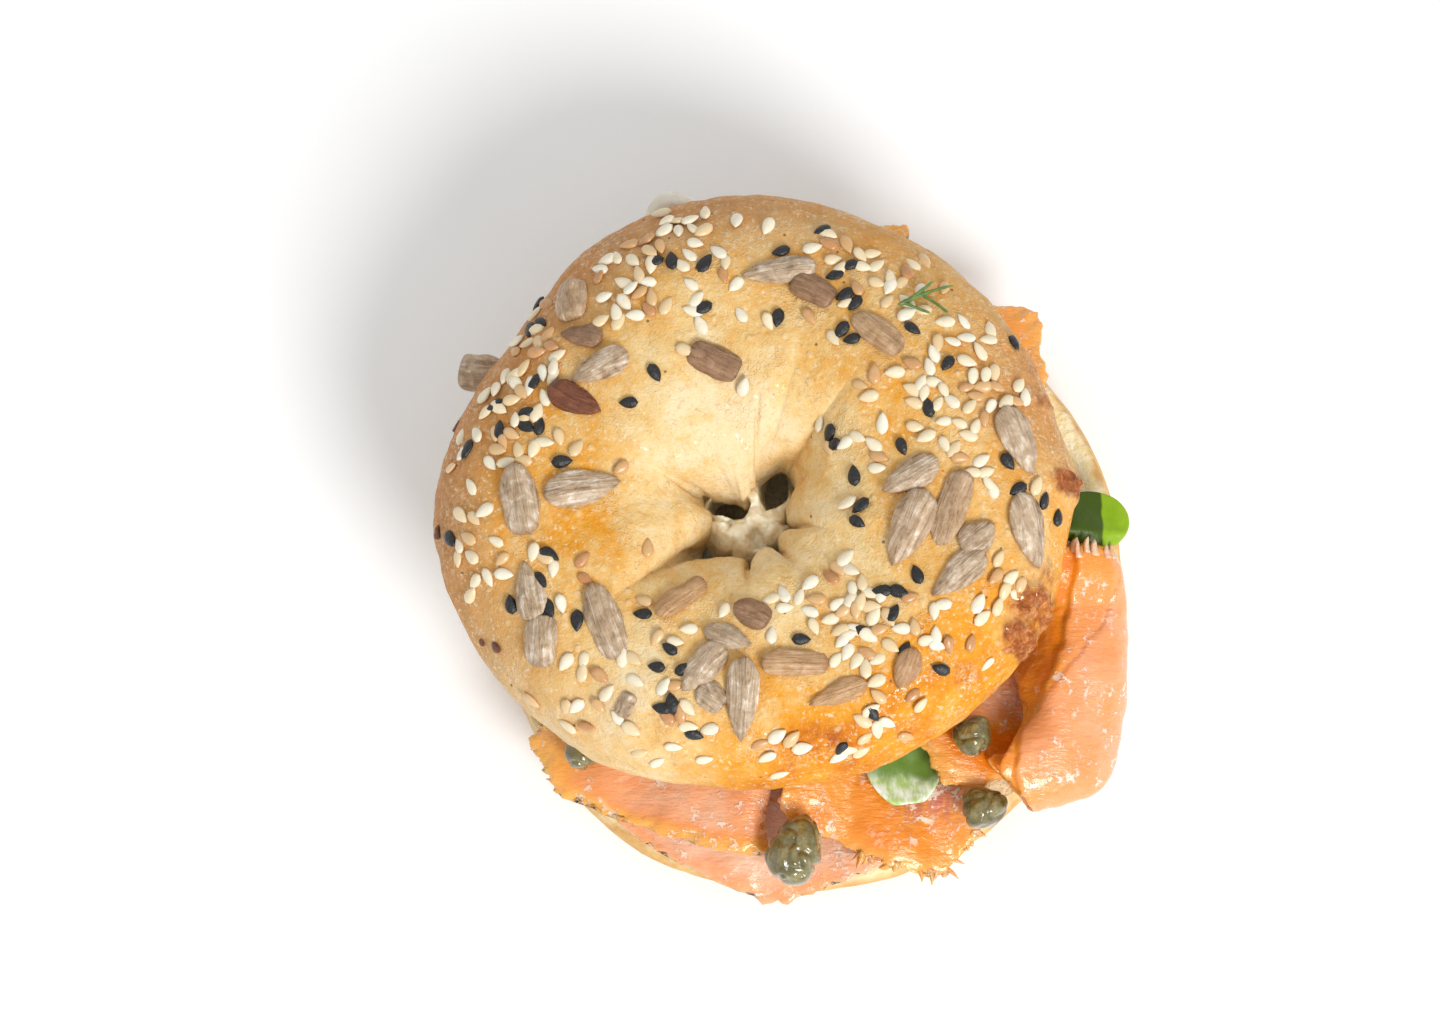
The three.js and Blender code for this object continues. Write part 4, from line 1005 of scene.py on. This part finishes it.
def seed_shape(sides, rings, start, stop, widest, ridge):
    """A seed of unit size from start to stop of its full outline, with a ridge along its back."""
    points, faces = [], []
    for k in range(rings + 1):
        t = start + (stop - start) * k / rings
        end = min(k / rings if start > 0 else 1, 1 - k / rings if stop < 1 else 1)
        size = taper(t, widest) * (0.55 + 0.45 * math.sqrt(1 - max(1 - end / 0.12, 0) ** 2))
        for i in range(sides):
            turn = 2 * math.pi * i / sides
            side, high = math.cos(turn), math.sin(turn)
            back = high * (1 - ridge) + ridge * (1 - abs(side)) if high > 0 else high * 0.8
            points.append((k / rings - 0.5, 0.5 * size * side, 0.5 * size ** 0.6 * back))
            if k < rings:
                a, b = k * sides + i, k * sides + (i + 1) % sides
                faces.append((a, b, b + sides, a + sides))
    return np.array(points), faces


def scatter(name, seeds):
    """Joins one mesh of all seeds, and keeps each seed's tone and the places along and across it."""
    points, faces, tones, places = [], [], [], []
    count = 0
    for (base, base_faces), (axes, place), sizes, tone in seeds:
        own = base * np.array(sizes)
        points.append(own @ axes + place)
        faces += [tuple(v + count for v in face) for face in base_faces]
        count += len(base)
        tones += [tone] * len(base)
        places.append(base)
    piece = solid_mesh(name, on_lid(np.concatenate(points)), faces)
    mesh = bmesh.new()
    mesh.from_mesh(piece.data)
    bmesh.ops.holes_fill(mesh, edges=[e for e in mesh.edges if e.is_boundary], sides=0)
    bmesh.ops.recalc_face_normals(mesh, faces=mesh.faces)
    mesh.to_mesh(piece.data)
    mesh.free()
    piece.data.shade_smooth()
    paint(piece, "tone", tones)
    for k, axis in enumerate(("along", "across", "high")):
        paint(piece, axis, np.concatenate(places)[:, k])
    return piece


draw = draw_from(23)
sesame_shape = seed_shape(12, 8, 0, 1, 0.4, 0.15)
first_seeds = list(filter(off_kernels, fallen(SESAME_PATCHES, 0.88, 15, 1.5, first_clear, draw_from(7))))
later_seeds = fallen(THICK_PATCHES, 0.84, 16, 1.2, later_clear, draw)
white_seeds, black_seeds = [], []
for k, (x, y, heading, size) in enumerate(first_seeds + later_seeds):
    stacked = 0.45 * next(draw) if k >= len(first_seeds) else 0
    lean, tip, toast = (next(draw) - 0.5) * 0.6, (next(draw) - 0.5) * 0.35, next(draw)
    sizes = tuple(SESAME[key] * size for key in ("length", "width", "thickness"))
    seat = resting(x, y, heading, sizes[2] * (0.5 - SUNK) + stacked, lean, tip)
    white_seeds.append((sesame_shape, seat, sizes, toast))
for x, y, heading in BLACK_SESAME:
    size = 0.9 + 0.25 * next(draw)
    seat = resting(x, y, heading, 0.35, (next(draw) - 0.5) * 0.5, (next(draw) - 0.5) * 0.3)
    black_seeds.append((sesame_shape, seat, (3.1 * size, 1.9 * size, 1.1), next(draw)))


def sesame_finish():
    hull = Finish("white_sesame")
    skin = hull.tones(
        hull.value("tone"), (0.0, rgb(256, 250, 230)), (0.5, rgb(254, 238, 202)),
        (0.74, rgb(243, 214, 164)), (0.88, rgb(228, 178, 118)), (1.0, rgb(202, 138, 84)),
    )
    # Painted contact shade: each seed turns golden-brown towards its underside, where it meets the crust.
    low = 1 - hull.value("high").ramp(-0.16, 0.12)
    rimmed = hull.mix(low * 0.55, skin, rgb(224, 164, 96))
    cloudy = hull.mix(hull.specks(0.9, 2).ramp(0.4, 0.7) * 0.25, rimmed, rgb(238, 208, 158))
    hull.set(
        Base_Color=cloudy, Normal=hull.relief(hull.specks(0.5, 3), 0.05), Roughness=0.32,
        Subsurface_Weight=0.12, Subsurface_Radius=(0.001, 0.0008, 0.0005), Coat_Weight=0.2,
        Coat_Roughness=0.15,
    )
    return hull


def black_sesame_finish():
    hull = Finish("black_sesame")
    skin = hull.tones(hull.specks(0.5, 3), (0.35, rgb(20, 19, 20)), (0.7, rgb(52, 50, 52)))
    hull.set(Base_Color=skin, Normal=hull.relief(hull.specks(0.35, 3), 0.14), Roughness=0.36)
    return hull


def kernel_finish():
    flesh = Finish("sunflower_kernel")
    tone, along, across = flesh.value("tone"), flesh.value("along"), flesh.value("across")
    streak_place = flesh.node("CombineXYZ", X=along * 1.3, Y=across * 6, Z=tone * 40)
    streaks = flesh.node(
        "TexNoise", Vector=streak_place, Scale=1.0, Detail=5, Roughness=0.66, Distortion=1.2
    )
    # The streak noise also carves the grooves of the bump below, so the darker tones fall in the grooves:
    # partly the kernel's own streaks and partly painted shade.
    papery = streaks * 0.6 + flesh.specks(1.6, 4, distortion=0.8) * 0.4
    skin = flesh.tones(
        papery, (0.32, rgb(104, 80, 56)), (0.42, rgb(182, 150, 116)), (0.54, rgb(216, 190, 158)),
        (0.64, rgb(256, 242, 226)),
    )
    tan = flesh.tones(
        papery, (0.3, rgb(186, 136, 88)), (0.55, rgb(218, 170, 118)), (0.75, rgb(238, 204, 160))
    )
    brown = flesh.tones(
        papery, (0.3, rgb(112, 74, 48)), (0.5, rgb(166, 124, 90)), (0.72, rgb(198, 160, 124))
    )
    dark = flesh.tones(papery, (0.3, rgb(84, 34, 14)), (0.6, rgb(146, 84, 50)))
    warm = flesh.mix(tone.ramp(0.2, 0.45), skin, tan)
    cover = flesh.mix(tone.ramp(0.9, 1.0), flesh.mix(tone.ramp(0.5, 0.62), warm, brown), dark)
    tip = flesh.mix(along.ramp(0.4, 0.5) * 0.5, cover, rgb(150, 104, 74))
    creases = flesh.relief(streaks, 0.6, flesh.relief(flesh.specks(0.5, 3), 0.07))
    flesh.set(Base_Color=tip, Normal=creases, Roughness=0.4, Coat_Weight=0.15, Coat_Roughness=0.2)
    return flesh


KERNEL_CUTS = {"whole": (0, 1), "blunt": (0, 0.74), "block": (0.12, 0.68)}
# Brown crumbs that stick out at the rim are shaped like small kernels.
CRUMBS = [
    (-46.4, 15.2, 20, 2.2, 1.7), (-49, -2.2, 80, 2.4, 1.6), (-39, -21.1, 130, 2, 1.6),
    (-41.5, -20, 60, 1.4, 1.2),
]
KERNEL_BROWN.update({len(KERNELS) + k: 1.0 for k in range(len(CRUMBS))})
kernel_seats = []
for k, (x, y, heading, length, width) in enumerate(KERNELS + CRUMBS):
    start, stop = KERNEL_CUTS[BROKEN_KERNELS.get(k, "whole")]
    base, faces = seed_shape(28, 24, start, stop, 0.36, 0.45)
    thick = width * KERNEL_THICKNESS
    real = base * np.array([length, width, thick])
    bend = 0.3 * grain(real + 40 * k, 3.2, 2, 60)
    base[:, 1] += bend / width
    base[:, 2] += (0.22 * grain(real + 40 * k, 1.6, 3, 61) + 0.2 * grain(real + 40 * k, 3.5, 2, 62)) / thick
    seat = resting(x, y, heading, thick * (0.5 - SUNK), (next(draw) - 0.5) * 0.4, (next(draw) - 0.5) * 0.15)
    tone = KERNEL_BROWN.get(k, 0.12 * next(draw))
    kernel_seats.append(((base, faces), seat, (length, width, thick), tone))
for piece, finish in (
    (scatter("white_sesame", white_seeds), sesame_finish()),
    (scatter("black_sesame", black_seeds), black_sesame_finish()),
    (scatter("sunflower_kernels", kernel_seats), kernel_finish()),
):
    finish.on(piece)
    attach(piece, "root")
    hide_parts("bagel_top")


# Dill: a torn sprig of thin green threads, cut off a fresh stalk. It lies loose on the crust, where
# it fell.
def dill_finish():
    herb = Finish("dill_green")
    tone = herb.tones(herb.specks(1.5), (0.3, rgb(74, 104, 36)), (0.7, rgb(130, 158, 84)))
    herb.set(Base_Color=tone, Normal=herb.relief(herb.specks(0.4), 0.06), Roughness=0.45)
    return herb


dill = soft_copy("dill_sprig", 2)
dill_finish().on(dill)
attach(dill, "root")
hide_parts("dill_sprig")


# The table is a plain white sheet, lit from the lower right by a soft lamp with white light all
# round. The camera looks down from a little in front and to the right, with a long lens.
def table():
    corners = [(-900, -900, 0), (900, -900, 0), (900, 900, 0), (-900, 900, 0)]
    sheet = solid_mesh("table", corners, [(0, 1, 2, 3)])
    white = Finish("white_table")
    cloudy = white.tones(white.specks(60), (0.4, (0.93, 0.93, 0.93)), (0.6, (0.95, 0.95, 0.95)))
    white.set(Base_Color=cloudy, Roughness=0.9, Specular_IOR_Level=0.0)
    white.on(sheet)


table()
CAMERA = {"aim": (-9.83, 3.576, 33), "distance": 636, "forward_tilt": 9, "side_tilt": 4, "lens": 100}
side_tilt, forward_tilt = (math.sin(math.radians(CAMERA[way])) for way in ("side_tilt", "forward_tilt"))
look = Vector((-side_tilt, forward_tilt, 0))
look.z = -math.sqrt(1 - look.length_squared)
right = look.cross(Vector((0, 1, 0))).normalized()
up = right.cross(look)
camera_data = bpy.data.cameras.new("camera")
camera_data.lens = CAMERA["lens"]
camera_data.sensor_width = 36
camera = bpy.data.objects.new("camera", camera_data)
bpy.context.scene.collection.objects.link(camera)
camera.matrix_world = Matrix.Translation((Vector(CAMERA["aim"]) - look * CAMERA["distance"]) * MM) @ Matrix(
    (right, up, -look)
).transposed().to_4x4()
bpy.context.scene.camera = camera


def lamp(name, place, aim, size, power):
    data = bpy.data.lights.new(name, "AREA")
    data.shape = "DISK"
    data.size = size * MM
    data.energy = power
    light = bpy.data.objects.new(name, data)
    light.location = Vector(place) * MM
    light.rotation_euler = (Vector(aim) - Vector(place)).to_track_quat("-Z", "Y").to_euler()
    bpy.context.scene.collection.objects.link(light)


WHITE_ROOM = 0.74
lamp("window", (469, -648, 756), (0, 0, 20), 420, 9.3)
world = bpy.data.worlds.new("white_room")
world.use_nodes = True
world.node_tree.nodes["Background"].inputs["Color"].default_value = (1, 1, 1, 1)
world.node_tree.nodes["Background"].inputs["Strength"].default_value = WHITE_ROOM
bpy.context.scene.world = world
bpy.context.scene.view_settings.view_transform = "Standard"
